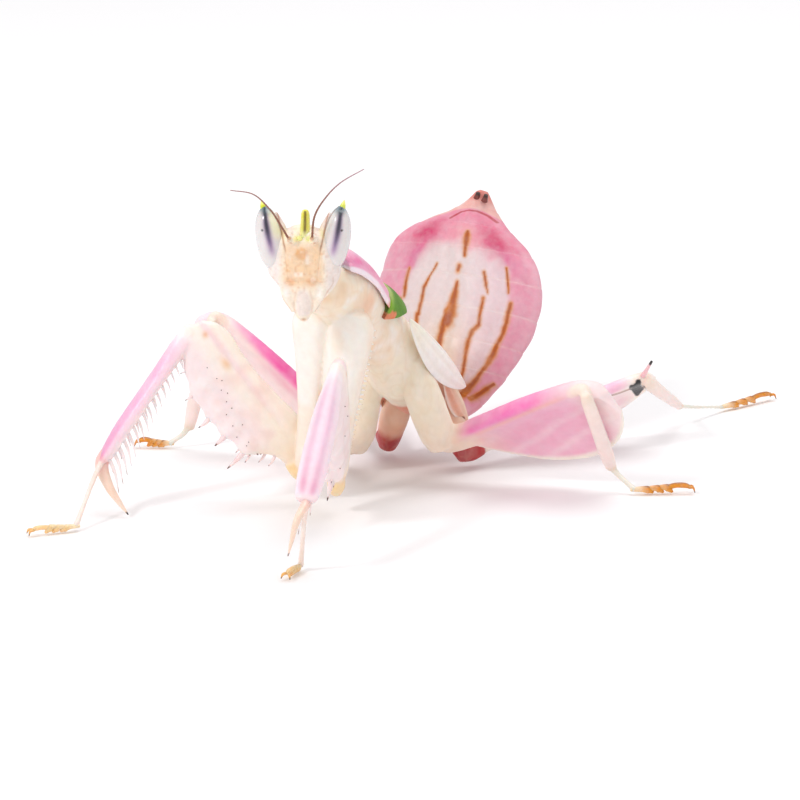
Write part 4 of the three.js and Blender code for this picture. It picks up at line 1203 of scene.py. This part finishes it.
def face_tints(points, normals):
    """Colours of the face, from places in the head's own frame: x to her left, z up from the mouth."""
    x, _, z = points.T
    aside = np.abs(x)
    ahead = ramp(-normals[:, 1], 0.0, 0.5)
    tints = np.broadcast_to(hue("f8ead8"), points.shape)

    def paint(tint, mask):
        nonlocal tints
        tints = blended(tints, tint, mask)

    paint("efc9a2", 0.75 * ahead * ramp(aside, 1.8, 1.0) * ramp(z, 1.9, 3.1) * ramp(z, 6.0, 5.2))
    paint("e0a468", 0.7 * ahead * ramp(np.hypot(x + 0.1, z - 4.9), 0.6, 0.25))
    for place in (-0.94, 0.6):
        paint("e2a878", 0.6 * ahead * ramp(np.hypot(x - place, z - 2.9), 0.55, 0.1))
    blots = ramp(grain(points, 0.4, 21), 0.15, 0.75)
    paint(WHITE, 0.45 * ahead * blots * ramp(z, 2.6, 3.2) * ramp(z, 5.6, 5.0))
    fine = ramp(grain(points, 0.2, 22), 0.1, 0.7)
    paint("dfa878", 0.4 * ahead * fine * ramp(z, 1.0, 2.4) * ramp(z, 5.5, 4.8))
    paint("eee0de", 0.7 * ramp(aside, 1.3, 1.9) * ramp(z, 1.6, 2.6))
    paint("e8d2ce", 0.7 * ramp(z, 5.6, 6.3) * ramp(aside, 0.5, 1.0))
    tongue = 0.3 + 0.24 * band(z, 1.2, 0.9)
    lip = ahead * ramp(aside, tongue + 0.1, tongue - 0.12) * ramp(z, 0.2, 0.5) * ramp(z, 2.7, 2.0)
    paint("e8dad8", 0.6 * lip)
    rim_line = ahead * band(aside, tongue + 0.12, 0.08) * ramp(z, 0.3, 0.7) * ramp(z, 2.5, 2.1)
    paint("ddb9a6", 0.4 * rim_line)
    paint(WHITE, 0.7 * ahead * band(aside, 1.15, 0.25) * band(z, 2.1, 0.6))
    paint("c08a5a", 0.7 * ahead * band(x, 0, 0.2) * band(z, 0.05, 0.12))
    edge = np.minimum(0.42 + 0.62 * z, 2.1)
    paint("cfa084", 0.4 * band(aside, edge, 0.05) * ramp(z, 3.4, 2.8) * ahead)
    paint("f4ea8c", 0.9 * ahead * band(aside, 0.42, 0.26) * band(z, 6.0, 0.22))
    paint("b87038", 0.7 * ahead * band(aside, 0.85, 0.12) * band(z, 5.72, 0.1))
    paint("f1e6a4", 0.7 * band(aside, 1.4, 0.25) * band(z, 6.2, 0.35))
    inner_edge = 1.2 + 0.22 * (z - 5.0)
    paint("a8683a", 0.75 * band(aside, inner_edge, 0.07) * ramp(z, 4.7, 5.4) * ahead)
    return tints


def make_head():
    mesh, points, _, _ = united("head_capsule", head_shells(), FACE_VOXEL, rounds=4)
    normals = coordinates(mesh, "normals")
    x, _, z = points.T
    ahead = ramp(-normals[:, 1], 0.2, 0.6)
    aside = np.abs(x)
    suture = band(z, 2.95 - 0.1 * x**2, 0.07) * ramp(aside, 1.5, 1.2)
    side_suture = band(aside, 1.0 + 0.12 * (z - 3), 0.06) * ramp(z, 2.9, 3.1) * ramp(z, 5.6, 5.3)
    ridge = band(x, 0, 0.2) * ramp(z, 3.0, 3.4) * ramp(z, 5.5, 5.0)
    height = ahead * (-0.06 * suture - 0.05 * side_suture + 0.06 * ridge) + 0.018 * grain(points, 0.28, 23)
    tints = face_tints(points, normals)
    points = from_head(points + normals * height[:, None])
    mesh.vertices.foreach_set("co", points.astype(np.float32).ravel())
    finished("head_capsule", mesh, tints, FACE_SKIN, ["head", "mouthparts"])


def make_eye(name, side):
    rows = [[[x * side, y, z], *size] for (x, y, z), *size in EYE_ROWS]
    eye = loft(rows, FRONT, rows=130, sides=96, tint="e2dcda")
    # Where the face is seen from a little to her left, both stripes lie that way from the eyes' fronts.
    turn = eye.around * side  # 0 in front, positive towards the outer side
    up = eye.points[..., 2]
    if side < 0:
        eye.paint("f4f0cc", 0.85 * ramp(turn, 0.1, -0.5) * ramp(up, 5.6, 6.6))
    eye.paint("ccced4", 0.5 * ramp(turn, 0.7, 1.4) * ramp(up, 4.2, 5.4))
    centre = 0.02 - 0.12 * ramp(up, 6.5, 4.5)
    eye.paint("b08cb4", 0.8 * band(turn, centre, 0.3) * ramp(up, 4.3, 5.2))
    eye.paint("54406c", 0.9 * band(turn, centre, 0.17) * ramp(up, 4.7, 6.0))
    eye.paint("201c30", 0.95 * band(turn, centre, 0.2) * ramp(up, 5.6, 6.8))
    eye.paint("5d8290", 0.85 * ramp(up, 7.55, 8.0))
    eye.paint("24343c", 0.8 * ramp(up, 7.3, 7.8) * band(turn, centre, 0.6))
    eye.paint("7a4a2c", 0.85 * band(turn, -1.15, 0.12) * ramp(up, 5.0, 6.0))
    speck = np.hypot((turn - (0.42 if side < 0 else 0.3)) * 0.9, up - 6.55)
    eye.paint(BLACK, 0.9 * ramp(speck, 0.12, 0.05))
    eye.moved(from_head)
    joined(name, [eye], EYE, [name])
    root = from_head([2.72 * side, 0.02, 7.8])
    tip = from_head([2.9 * side, 0.02, 8.5])
    cone = thorn(root, tip, 0.26, tint="d6e04c", point_tint="f0ee8c", blackened=0.4)
    joined(f"{name}_cone", [cone], PLATE)


def make_horn():
    rows = [
        [[0.1, -0.35, 5.6], 0.36, 0.4],
        [[0.14, -0.62, 6.3], 0.34, 0.34],
        [[0.17, -0.62, 7.0], 0.33, 0.3],
        [[0.18, -0.6, 7.65], 0.3, 0.26],
        [[0.18, -0.58, 7.9], 0.2, 0.18],
    ]
    horn = loft(rows, FRONT, rows=70, sides=48, edge=0.7, tint="dcd75a")
    middle = band(horn.around, 0, 0.24) * ramp(horn.along, 0.2, 0.35) * ramp(horn.along, 1.0, 0.92)
    horn.push(-0.07 * middle)
    horn.paint("efe88c", 0.8 * band(np.abs(horn.around), 1.0, 0.45))
    horn.paint("8f7a22", 0.85 * middle)
    horn.paint("6a4a18", 0.8 * band(horn.around, 0, 0.12) * middle)
    horn.paint("f6f2b4", 0.8 * ramp(horn.along, 0.36, 0.2))
    shells = [horn.moved(from_head)]
    for side in (-1, 1):
        lobe = [
            [[0.1 + 0.16 * side, -0.72, 5.8], 0.16, 0.14],
            [[0.1 + 0.34 * side, -0.95, 5.98], 0.2, 0.15],
            [[0.1 + 0.52 * side, -0.9, 6.12], 0.12, 0.1],
        ]
        shells.append(loft(lobe, FRONT, rows=24, sides=24, tint="f4ee9c").moved(from_head))
    joined("ocellar_process", shells, PLATE, ["ocellar_horn"])


def make_antenna(name, places):
    side = -1 if "right" in name else 1
    at = np.linspace(0, 1, ANTENNA_ROWS)
    line = spline(places, at)
    thick = 0.085 - 0.052 * at
    thick = thick * (1 + 0.1 * np.sin(at * ANTENNA_JOINTS * 2 * math.pi))
    feeler = loft(round_stations(line, thick), FRONT, rows=ANTENNA_ROWS, sides=10, tint="8a5a48")
    feeler.paint("b58a98", 0.8 * ramp(feeler.along, 0.3, 1.0) * (1 if side > 0 else 0.4))
    first = np.asarray(places[0], float)
    ends = [[first + [0, 0.25, -0.1], 0.17, 0.17], [first + [0, -0.08, 0.14], 0.12, 0.12]]
    scape = loft(ends, UP, rows=12, sides=16)
    scape.paint("ecd0b4", 1.0)
    scape.paint("b06a3c", 0.6 * ramp(scape.along, 0.6, 1.0))
    joined(name, [feeler.moved(from_head), scape.moved(from_head)], FEELER, [name])


make_head()
make_eye("left_eye", 1)
make_eye("right_eye", -1)
make_horn()
for antenna, line_places in ANTENNAE.items():
    make_antenna(antenna, line_places)

# ---------------------------------------------------------------- plates of the back and wing pads

# Stations of a plate bent over the back: place on the trunk's axis, half width, height over the axis.
SHIELD = [
    [[0, -12.35, 18.3], 2.2, 2.2],
    [[0, -11.4, 17.8], 2.75, 2.6],
    [[0, -9.4, 16.8], 2.75, 2.5],
    [[0, -7.7, 15.75], 2.5, 2.35],
    [[0, -6.3, 14.8], 2.3, 2.2],
]
SADDLE = [
    [[0, -6.35, 14.8], 2.35, 2.35],
    [[0, -5.0, 13.85], 2.48, 2.55],
    [[0, -3.8, 13.0], 2.5, 2.5],
]
SHIELD_THICKNESS = 0.4
SADDLE_THICKNESS = 0.34
SHIELD_SPANS = (math.radians(74), math.radians(88))  # from the ridge to an edge, in front and behind
SADDLE_SPANS = (math.radians(112), math.radians(64))


def bent_plate(stations, thickness, span, rows, sides, flange=0.0):
    """A plate bent over the back: its ring of points runs over its outer face and back under it."""
    at = np.linspace(0, 1, rows)
    centre = spline([place for place, *_ in stations], at)
    size = spline([[wide, high] for _, wide, high in stations], at)
    tangent = unit(np.gradient(centre, axis=0))
    rise = unit(np.stack([0 * at, -tangent[:, 2], tangent[:, 1]], -1))
    turn = 2 * math.pi * np.arange(sides) / sides
    across = np.cos(turn)
    closing = np.sqrt(np.clip(np.minimum(ramp(at, 0.0, 0.04), ramp(at, 1.0, 0.96)), LEAST_SHARE, 1))
    level = thickness / 2 * (np.sign(np.sin(turn)) * np.abs(np.sin(turn)) ** 0.5)[None] * closing[:, None]
    lifted = level - thickness / 2 + flange * np.abs(across)[None] ** 6
    angle = (span[0] + (span[1] - span[0]) * at)[:, None] * across
    points = (
        centre[:, None]
        + SIDEWAYS * ((size[:, :1] + lifted) * np.sin(angle))[..., None]
        + rise[:, None] * ((size[:, 1:2] + lifted) * np.cos(angle))[..., None]
    )
    return Shell(points, at, across)


def make_pronotum():
    plate = bent_plate(SHIELD, SHIELD_THICKNESS, SHIELD_SPANS, 120, 120, flange=0.1)
    aside = np.abs(plate.around)
    outside = ramp(plate.normals()[..., 2] * 0.5 + np.abs(plate.normals()[..., 0]), 0.1, 0.4)
    plate.push(0.06 * band(aside, 0, 0.1) - 0.05 * outside * band(aside, 0.74, 0.06))
    plate.paint("efaac6", 1.0)
    plate.paint("e57fac", 0.75 * band(aside, 0.66, 0.18) * ramp(plate.along, 1.0, 0.3))
    plate.paint("f6cfdc", 0.7 * band(aside, 0, 0.3))
    plate.paint("f8e6ee", 0.92 * ramp(aside, 0.84, 0.9))
    plate.paint("e5a0b8", 0.35 * ramp(grain(plate.points, 0.7, 31), 0.2, 0.8) * ramp(aside, 0.85, 0.7))
    corner = ramp(plate.along, 0.86, 0.95) * ramp(aside, 0.86, 0.94)
    plate.paint("e58a62", 0.95 * corner * (0.75 + 0.25 * grain(plate.points, 0.25, 32)))
    joined("pronotum_shield", [plate], PLATE, ["pronotum"])


def make_saddle():
    """The green plate behind the shield."""
    saddle = bent_plate(SADDLE, SADDLE_THICKNESS, SADDLE_SPANS, 80, 120)
    aside = np.abs(saddle.around)
    saddle.paint("588c12", 1.0)
    saddle.paint("3d7606", 0.7 * ramp(grain(saddle.points, 0.7, 33), 0.0, 0.7))
    saddle.paint("8ab03c", 0.7 * ramp(saddle.along, 0.22, 0.06))
    saddle.paint("c3cc8a", 0.6 * ramp(aside, 0.72, 0.5) * ramp(saddle.along, 0.3, 0.0))
    saddle.paint("6a5a30", 0.7 * ramp(saddle.along, 0.94, 0.99))
    spot = np.hypot((saddle.along - 0.14) / 0.26, (aside - 0.96) / 0.13)
    spot = spot + 0.25 * grain(saddle.points, 0.3, 34)
    saddle.paint("e0805c", 0.95 * ramp(spot, 1.0, 0.7))
    joined("mesonotum", [saddle], LEAF_PLATE, ["mesonotum"])


# Hinge, tip, reach towards the back and towards the belly, bow, and a direction that the face is turned to.
PADS = {
    "forewing_pad": {
        "hinge": [2.45, -3.1, 13.4],
        "tip": [4.0, 3.3, 6.95],
        "reach": [0.62, 1.9],
        "bow": 0.35,
        "aside": [0.8, -0.35, 0.45],
    },
    "hindwing_pad": {
        "hinge": [2.85, 1.9, 8.0],
        "tip": [3.45, 4.9, 3.75],
        "reach": [0.6, 1.15],
        "bow": 0.25,
        "aside": [0.9, -0.25, 0.3],
    },
}
PAD_THICKNESS = 0.3
PAD_ROWS, PAD_SIDES = 110, 80


def make_pad(name, side, pad):
    mirror = np.array([side, 1, 1])
    start, tip = np.array(pad["hinge"]) * mirror, np.array(pad["tip"]) * mirror
    line = tip - start
    cross = unit(np.cross(np.array(pad["aside"]) * mirror, line)) * side
    face = unit(np.cross(line, cross)) * side
    at = np.linspace(0, 1, PAD_ROWS)
    turn = 2 * math.pi * np.arange(PAD_SIDES) / PAD_SIDES
    across = np.cos(turn)
    back_reach, belly_reach = pad["reach"]
    reach = np.where(across > 0, back_reach, belly_reach)
    bulk = (0.06 + 0.94 * np.sin(math.pi * np.clip(at, 0, 1)) ** 0.75)[:, None]
    bulge = pad["bow"] * (1 - across**2) * bulk
    veins = 0.03 * np.cos(across * 13) * (np.sin(turn) > 0) * ramp(np.abs(across), 1.0, 0.8) * bulk
    level = PAD_THICKNESS / 2 * np.sin(turn) * (0.4 + 0.6 * bulk)
    points = (
        start
        + line * at[:, None, None]
        + cross * (bulk * across * reach)[..., None]
        + face * (bulge + veins + level - PAD_THICKNESS / 2)[..., None]
    )
    leaf = Shell(points, at, across, "f9f0ea")
    if "hind" in name:
        leaf.paint("ecd2ba", 1.0)
        leaf.paint("e6a88e", 0.8 * ramp(leaf.around, 0.2, -0.7))
        leaf.paint("7c3420", 0.95 * ramp(np.hypot((leaf.along - 0.84) * 5, leaf.around + 0.75), 0.4, 0.2))
    else:
        leaf.paint("f6ead2", 0.7 * ramp(leaf.along, 0.4, 0.0))
        leaf.paint("f5e4e0", 0.5 * ramp(leaf.along, 0.5, 0.9))
        leaf.paint("efe2d6", 0.35 * band(np.cos(leaf.around * 13), -1, 0.5))
    leaf.paint(WHITE, 0.7 * ramp(np.abs(leaf.around), 0.8, 0.95))
    joined(name, [leaf], PLATE, [name])


make_pronotum()
make_saddle()
for pad_name, pad_form in PADS.items():
    make_pad(f"left_{pad_name}", 1, pad_form)
    make_pad(f"right_{pad_name}", -1, pad_form)

# ---------------------------------------------------------------- abdomen

# The flat abdomen curls up like a leaf. Stations: place on its middle line, half width, half thickness.
ABDOMEN = [
    [[0, 5.1, 4.6], 2.3, 1.1],
    [[-0.1, 6.6, 4.85], 3.43, 1.2],
    [[-0.3, 7.8, 6.4], 4.88, 1.45],
    [[-0.4, 8.7, 8.0], 5.89, 1.7],
    [[-0.48, 9.8, 9.8], 6.66, 1.7],
    [[-0.6, 11.1, 11.9], 6.91, 1.6],
    [[-0.85, 12.2, 13.9], 6.52, 1.45],
    [[-1.28, 13.1, 15.6], 5.53, 1.25],
    [[-1.25, 13.9, 17.0], 3.53, 0.95],
    [[-0.65, 14.5, 18.1], 1.61, 0.7],
    [[-0.34, 15.04, 19.4], 0.32, 0.4],
]
ABDOMEN_SWEEP = 0.6
ABDOMEN_ROWS, ABDOMEN_SIDES = 400, 360
SEGMENTS = 9
ABDOMEN_LENGTH = 18.6
ABDOMEN_SHADE = np.array([0.85, 0.83, 0.86])  # it faces the lights more squarely than the rest

# Markings of the back: paths of [share of the length, share of the half width], with the half breadth of
# each place in mm. Positive shares of the half width lie on her left side.
STRIPES = [
    ([[0.735, 0.22], [0.7, 0.2], [0.672, 0.19], [0.625, 0.16]], [0.14, 0.3, 0.22, 0.12]),
    ([[0.582, 0.1], [0.568, 0.09]], [0.2, 0.2]),
    ([[0.525, 0.1], [0.465, 0.09], [0.42, 0.09], [0.38, 0.09]], [0.14, 0.32, 0.46, 0.4]),
    ([[0.42, 0.05], [0.36, 0.04], [0.297, 0.04], [0.2, 0.05], [0.1, 0.05]], [0.26, 0.34, 0.3, 0.3, 0.2]),
    (
        [[0.583, -0.19], [0.54, -0.25], [0.495, -0.3], [0.45, -0.31], [0.405, -0.31]],
        [0.09, 0.1, 0.16, 0.14, 0.16],
    ),
    ([[0.405, -0.33], [0.3, -0.32], [0.2, -0.35], [0.1, -0.38]], [0.16, 0.18, 0.16, 0.14]),
    ([[0.562, -0.56], [0.51, -0.555], [0.465, -0.55]], [0.1, 0.16, 0.16]),
    ([[0.45, -0.6], [0.36, -0.62], [0.24, -0.6], [0.14, -0.58]], [0.18, 0.22, 0.22, 0.16]),
    ([[0.573, 0.4], [0.53, 0.43], [0.5, 0.46]], [0.12, 0.14, 0.05]),
    ([[0.48, 0.42], [0.43, 0.43], [0.393, 0.45], [0.37, 0.4], [0.335, 0.4]], [0.14, 0.14, 0.16, 0.2, 0.16]),
    ([[0.335, 0.4], [0.27, 0.42], [0.203, 0.47], [0.14, 0.5]], [0.18, 0.15, 0.15, 0.15]),
    ([[0.603, 0.66], [0.56, 0.67], [0.515, 0.68]], [0.08, 0.1, 0.06]),
    ([[0.478, 0.72], [0.42, 0.735], [0.365, 0.74]], [0.2, 0.2, 0.16]),
    ([[0.365, 0.74], [0.3, 0.74], [0.242, 0.73], [0.19, 0.71]], [0.14, 0.22, 0.17, 0.18]),
    ([[0.19, 0.71], [0.15, 0.68], [0.12, 0.66], [0.06, 0.64]], [0.2, 0.28, 0.34, 0.4]),
    ([[0.185, 0.95], [0.15, 0.9], [0.1, 0.83]], [0.1, 0.16, 0.2]),
    ([[0.19, -0.9], [0.1, -0.84]], [0.2, 0.28]),
]
# The edge between the pale middle and the pink rim: shares of the length, and shares of the half width
# on her right and on her left side.
RIM_PLACES = [0.0, 0.14, 0.25, 0.33, 0.41, 0.487, 0.54, 0.6, 0.625, 0.66, 0.7]
RIM_RIGHT = [-0.62, -0.62, -0.64, -0.64, -0.6, -0.55, -0.53, -0.48, -0.44, -0.39, -0.3]
RIM_LEFT = [0.66, 0.68, 0.71, 0.74, 0.72, 0.7, 0.67, 0.67, 0.66, 0.62, 0.4]
ARC = [[0.8, -0.22], [0.82, -0.15], [0.845, -0.08], [0.86, 0.11], [0.865, 0.36], [0.848, 0.7], [0.818, 0.85]]


def abdomen_shell():
    at = np.linspace(0, 1, ABDOMEN_ROWS)
    places = [place for place, *_ in ABDOMEN]
    centre = spline(places, at)
    size = spline([sizes for _, *sizes in ABDOMEN], at)
    tangent = tangents(places, at)
    back = unit(np.stack([0 * at, tangent[:, 2], -tangent[:, 1]], -1))
    turn = 2 * math.pi * np.arange(ABDOMEN_SIDES) / ABDOMEN_SIDES
    side = np.cos(turn)
    part = at * SEGMENTS - np.floor(at * SEGMENTS)
    scallop = 1 + 0.012 * np.sin(part * math.pi) * ramp(at, 0.1, 0.2)
    closing = np.sqrt(np.clip(np.minimum(ramp(at, 0, 0.03), ramp(at, 1, 0.985)), LEAST_SHARE, 1))
    wide = size[:, :1] * scallop[:, None]
    thick = size[:, 1:2] * closing[:, None]
    level = thick * np.sin(turn) + ABDOMEN_SWEEP * side**2
    points = centre[:, None] + SIDEWAYS * (wide * side)[..., None] + back[:, None] * level[..., None]
    shell = Shell(points, at, side)
    overlap = 0.035 * part**2 * ramp(at, 0.03, 0.1) * ramp(at, 0.97, 0.9)
    front = (np.sin(turn) < 0)[None]
    keel = 0.1 * band(side, 0.1, 0.1)[None] * front * ramp(at, 0.95, 0.8)[:, None]
    ribbed = ramp(at, 0.1, 0.2) * ramp(at, 0.75, 0.65)
    ribs = 0.03 * np.sin(side * 26)[None] * front * ribbed[:, None]
    shell.push(overlap[:, None] + keel + ribs + 0.05 * grain(shell.points, 1.3, 41))
    return shell


def in_millimetres(path, widths):
    """A path of [share of the length, share of the half width] on the back, in millimetres."""
    return [[share * ABDOMEN_LENGTH, across * np.interp(share, *widths)] for share, across in path]


def paint_stripes(shell, spots, widths, front):
    """Rust-brown stripes with orange edges, each as broad at its places as its own list says."""
    wobble = 1 + 0.25 * grain(shell.points, 0.35, 43)
    blots = grain(shell.points, 0.9, 44)
    halo, edge, core = np.zeros((3, *shell.along.shape))
    for path, breadths in STRIPES:
        away, share = distance_to_path(spots, in_millimetres(path, widths))
        breadth = np.interp(share, np.linspace(0, 1, len(breadths)), breadths) * wobble
        dark = ramp(blots - 0.5 * np.abs(share - 0.5), -0.9, -0.1)
        halo = np.maximum(halo, ramp(away, breadth * 1.4 + 0.12, breadth * 0.8))
        edge = np.maximum(edge, ramp(away, breadth * 1.1, breadth * 0.5))
        core = np.maximum(core, dark * ramp(away, breadth * 0.75, breadth * 0.2))
    shell.paint("dfa060", 0.6 * front * halo)
    shell.paint("d27c24", 0.9 * front * edge)
    shell.paint(RUST, 0.85 * front * core)


def paint_abdomen(shell):
    at, across = shell.along, shell.around
    widths = (np.linspace(0, 1, len(ABDOMEN)), [wide for _, wide, _ in ABDOMEN])
    half_width = np.interp(at, *widths)
    spots = np.stack([at * ABDOMEN_LENGTH, across * half_width], -1)
    front = ramp(shell.facing([0, -1, 0.3]), -0.1, 0.15)
    noise = grain(shell.points, 0.9, 42)
    shell.paint("ecdcd8", 1.0)
    shell.paint("f4e0c4", 0.8 * ramp(at, 0.48, 0.25) * band(across, 0.1, 0.5))
    shell.paint("efd3d8", 0.6 * ramp(across, 0.1, 0.5))
    right_edge = np.interp(at, RIM_PLACES, RIM_RIGHT)
    left_edge = np.interp(at, RIM_PLACES, RIM_LEFT)
    past = np.maximum(across - left_edge, right_edge - across) + 0.02 * noise
    rim = ramp(past, -0.04, 0.05)
    shell.paint("eda6b8", 0.95 * rim)
    shell.paint("f3c2cc", 0.5 * rim * ramp(np.abs(across), 0.86, 1.0))
    crown = ramp(at + 0.035 * noise, 0.63, 0.7)
    shell.paint("ee9db0", 0.95 * crown)
    shell.paint("f3b8b8", 0.6 * crown * band(across, 0.2, 0.25) * ramp(at, 0.8, 0.74))
    for side, place in ((-1, -0.46), (1, 0.62)):
        centre = place + 0.15 * side * (0.72 - at)
        shoulder = band(at, 0.72 + 0.02 * noise, 0.075) * band(across, centre, 0.2)
        shell.paint(ROSE, 0.9 * shoulder)
    shell.paint("e0709c", 0.65 * band(past, 0.05, 0.09) * band(at, 0.61, 0.07) * ramp(-across, -0.1, 0.1))
    shell.paint("e07ea4", 0.5 * band(past, 0.07, 0.1) * band(at, 0.63, 0.05) * ramp(across, -0.1, 0.1))
    lines = band(np.mod(at * SEGMENTS + 0.5, 1), 0.5, 0.05) * ramp(at, 0.1, 0.2) * ramp(at, 0.7, 0.6)
    shell.paint("ead4c8", 0.25 * front * lines)
    paint_stripes(shell, spots, widths, front)
    away, _ = distance_to_path(spots, in_millimetres(ARC, widths))
    apex = ramp(at, 0.875 - 0.07 * (across - 0.25) ** 2, 0.885 - 0.07 * (across - 0.25) ** 2)
    shell.paint("f4c6b6", 0.8 * apex)
    shell.paint("c2484e", 0.85 * front * ramp(away, 0.17, 0.05))
    shell.paint("e07a6c", 0.85 * ramp(at, 0.92, 0.97))
    under = ramp(shell.facing([0, 1, -0.3]), 0.0, 0.4)
    shell.paint("f0c6c4", 0.55 * under * ramp(np.abs(across), 0.8, 0.4))
    shell.tint = shell.tint * ABDOMEN_SHADE
    return shell


CERCI = {
    "left_cercus": [[0.28, 14.35, 18.75], [0.45, 14.3, 19.25]],
    "right_cercus": [[-0.4, 14.4, 18.9], [-0.25, 14.35, 19.35]],
}


def make_abdomen():
    shell = paint_abdomen(abdomen_shell())
    nodes = [f"abdomen_{number + 1}" for number in range(SEGMENTS)]
    joined("abdomen", [shell], TERGITE, nodes)
    for name, (root, tip) in CERCI.items():
        cercus = loft([[root, 0.26, 0.26], [tip, 0.16, 0.16]], FRONT, rows=26, sides=20, tint="7a3a34")
        cercus.paint("3a201e", ramp(cercus.along, 0.4, 0.9))
        joined(name, [cercus], FEELER, [name])


make_abdomen()

# ---------------------------------------------------------------- small marks that stand out of the skin

# Studs of the fore femora, as share and depth on its face: an outer and an inner row.
OUTER_STUDS = [[0.8, 0.83], [0.64, 1.2], [0.5, 2.0], [0.35, 2.27], [0.2, 2.36]]
INNER_STUDS = [[0.7, 0.7], [0.54, 1.32], [0.34, 1.8], [0.17, 2.15]]
STUD_ROWS = {
    "right_fore": [(OUTER_STUDS, 10), (INNER_STUDS, 7)],
    "left_fore": [(OUTER_STUDS, 4), (INNER_STUDS, 2)],
}
STUD_RADIUS = 0.05
STUD_TINT = "5a4038"
STUD_ZIGZAG = 0.12
# Teeth down the outer edge of a fore coxa: places on her left side.
COXA_TEETH = [
    [3.02, -10.2, 14.2],
    [2.38, -10.1, 11.04],
    [1.84, -10.05, 8.75],
    [1.17, -10.07, 6.31],
    [0.75, -10.05, 4.63],
]
COXA_TEETH_COUNT = 26
TOOTH_RADIUS = 0.09
TOOTH_ROOT, TOOTH_TIP = [-0.3, -0.12, 0], [0.1, 0.04, -0.06]  # from its place on that path
HIND_KNEE_SPINE = [[-0.25, 0.1], [0.1, -1.0], [0.5, -2.5]]  # length past the knee, and depth
HIND_KNEE_RADII = (0.24, 0.17, 0.1)


def stud(surface, normals, spot):
    place, normal = surface.points[spot], normals[spot]
    root, tip = place - normal * STUD_RADIUS, place + normal * STUD_RADIUS * 2
    return thorn(root, tip, STUD_RADIUS, point_tint=STUD_TINT, tint=STUD_TINT, sides=8)


def nearest(surface, normals, limb, face, share, depth):
    """Where on that face of a shell a share and depth of the limb lie."""
    where = limb.in_plane(surface.points)
    away = np.hypot((where[..., 0] - share) * limb.length, where[..., 1] - depth)
    hidden = (normals @ limb.front) * face < 0.3
    return np.unravel_index(np.where(hidden, np.inf, away).argmin(), away.shape)


def make_studs():
    """Dark points of small spines on the faces of the fore femora."""
    shells = []
    for name in FORE_LEGS:
        limb = LIMBS[name]
        femur = fore_femur(limb)
        normals = femur.normals()
        for path, count in STUD_ROWS[name]:
            line = spline(path, np.linspace(0, 1, count))
            for number, (share, depth) in enumerate(line):
                zigzag = STUD_ZIGZAG * (-1) ** number
                for face in (1, -1):
                    spot = nearest(femur, normals, limb, face, share, depth + zigzag)
                    shells.append(stud(femur, normals, spot))
    joined("femur_studs", shells, SPINE)


def make_coxa_teeth():
    """Fine pale teeth down the outer edges of the fore coxae."""
    shells = []
    for side in (1, -1):
        mirror = np.array([side, 1, 1])
        for place in spline(COXA_TEETH, np.linspace(0, 1, COXA_TEETH_COUNT)):
            root = (place + TOOTH_ROOT) * mirror
            tip = (place + TOOTH_TIP) * mirror
            shells.append(thorn(root, tip, TOOTH_RADIUS, tint=WHITE, point_tint="e2c4ae", sides=8))
    joined("coxa_teeth", shells, SPINE)


def make_hind_knees():
    """The dark-tipped process that stands up from each hind knee."""
    shells = []
    for name in ("left_hind", "right_hind"):
        limb = LIMBS[name]
        places = [
            limb.knee + limb.along * length + limb.inner * depth - limb.front * 0.1
            for length, depth in HIND_KNEE_SPINE
        ]
        process = loft(round_stations(places, HIND_KNEE_RADII), limb.front, rows=50, sides=24)
        process.paint("f4c6cc", 1.0)
        blots = ramp(grain(process.points, 0.3, 51), 0.35, 0.5)
        process.paint("2a1a18", 0.9 * blots * ramp(process.along, 0.2, 0.5))
        process.paint(BLACK, ramp(process.along, 0.84, 0.92))
        shells.append(process)
    joined("hind_knees", shells, SPINE)


make_hind_knees()
make_coxa_teeth()
make_studs()

# ---------------------------------------------------------------- studio

# Sizes and places here are in metres.
FLOOR_REACH = 3.0
FLOOR_COLOUR = (0.93, 0.92, 0.93, 1)
WORLD_STRENGTH = 0.72
# Name, place, target, diameter, and power in watts.
LIGHTS = [
    ("top", (0.05, 0.1, 0.5), (0, 0, 0), 0.4, 1.0),
    ("front", (-0.16, -0.42, 0.36), (0, 0, 0.01), 0.1, 0.95),
]


def make_floor():
    corners = np.array([[-1, -1, 0], [1, -1, 0], [1, 1, 0], [-1, 1, 0]]) * FLOOR_REACH
    floor = placed("floor", mesh_of("floor", corners, [[0, 1, 2, 3]]))
    made = Nodes("floor")
    made.surface.inputs["Base Color"].default_value = FLOOR_COLOUR
    made.surface.inputs["Roughness"].default_value = 0.75
    made.surface.inputs["Specular IOR Level"].default_value = 0.1
    floor.data.materials.append(made.material)


def add_light(name, place, target, size, power):
    light = bpy.data.lights.new(name, "AREA")
    light.shape = "DISK"
    light.size = size
    light.energy = power
    holder = placed(name, light)
    direction = Vector(target) - Vector(place)
    holder.location = place
    holder.rotation_euler = direction.to_track_quat("-Z", "Y").to_euler()


def make_studio():
    make_floor()
    world = bpy.data.worlds.new("studio")
    world.use_nodes = True
    background = world.node_tree.nodes["Background"]
    background.inputs["Color"].default_value = (1.0, 1.0, 1.0, 1)
    background.inputs["Strength"].default_value = WORLD_STRENGTH
    bpy.context.scene.world = world
    for light in LIGHTS:
        add_light(*light)
    bpy.context.scene.view_settings.view_transform = "Standard"


make_studio()
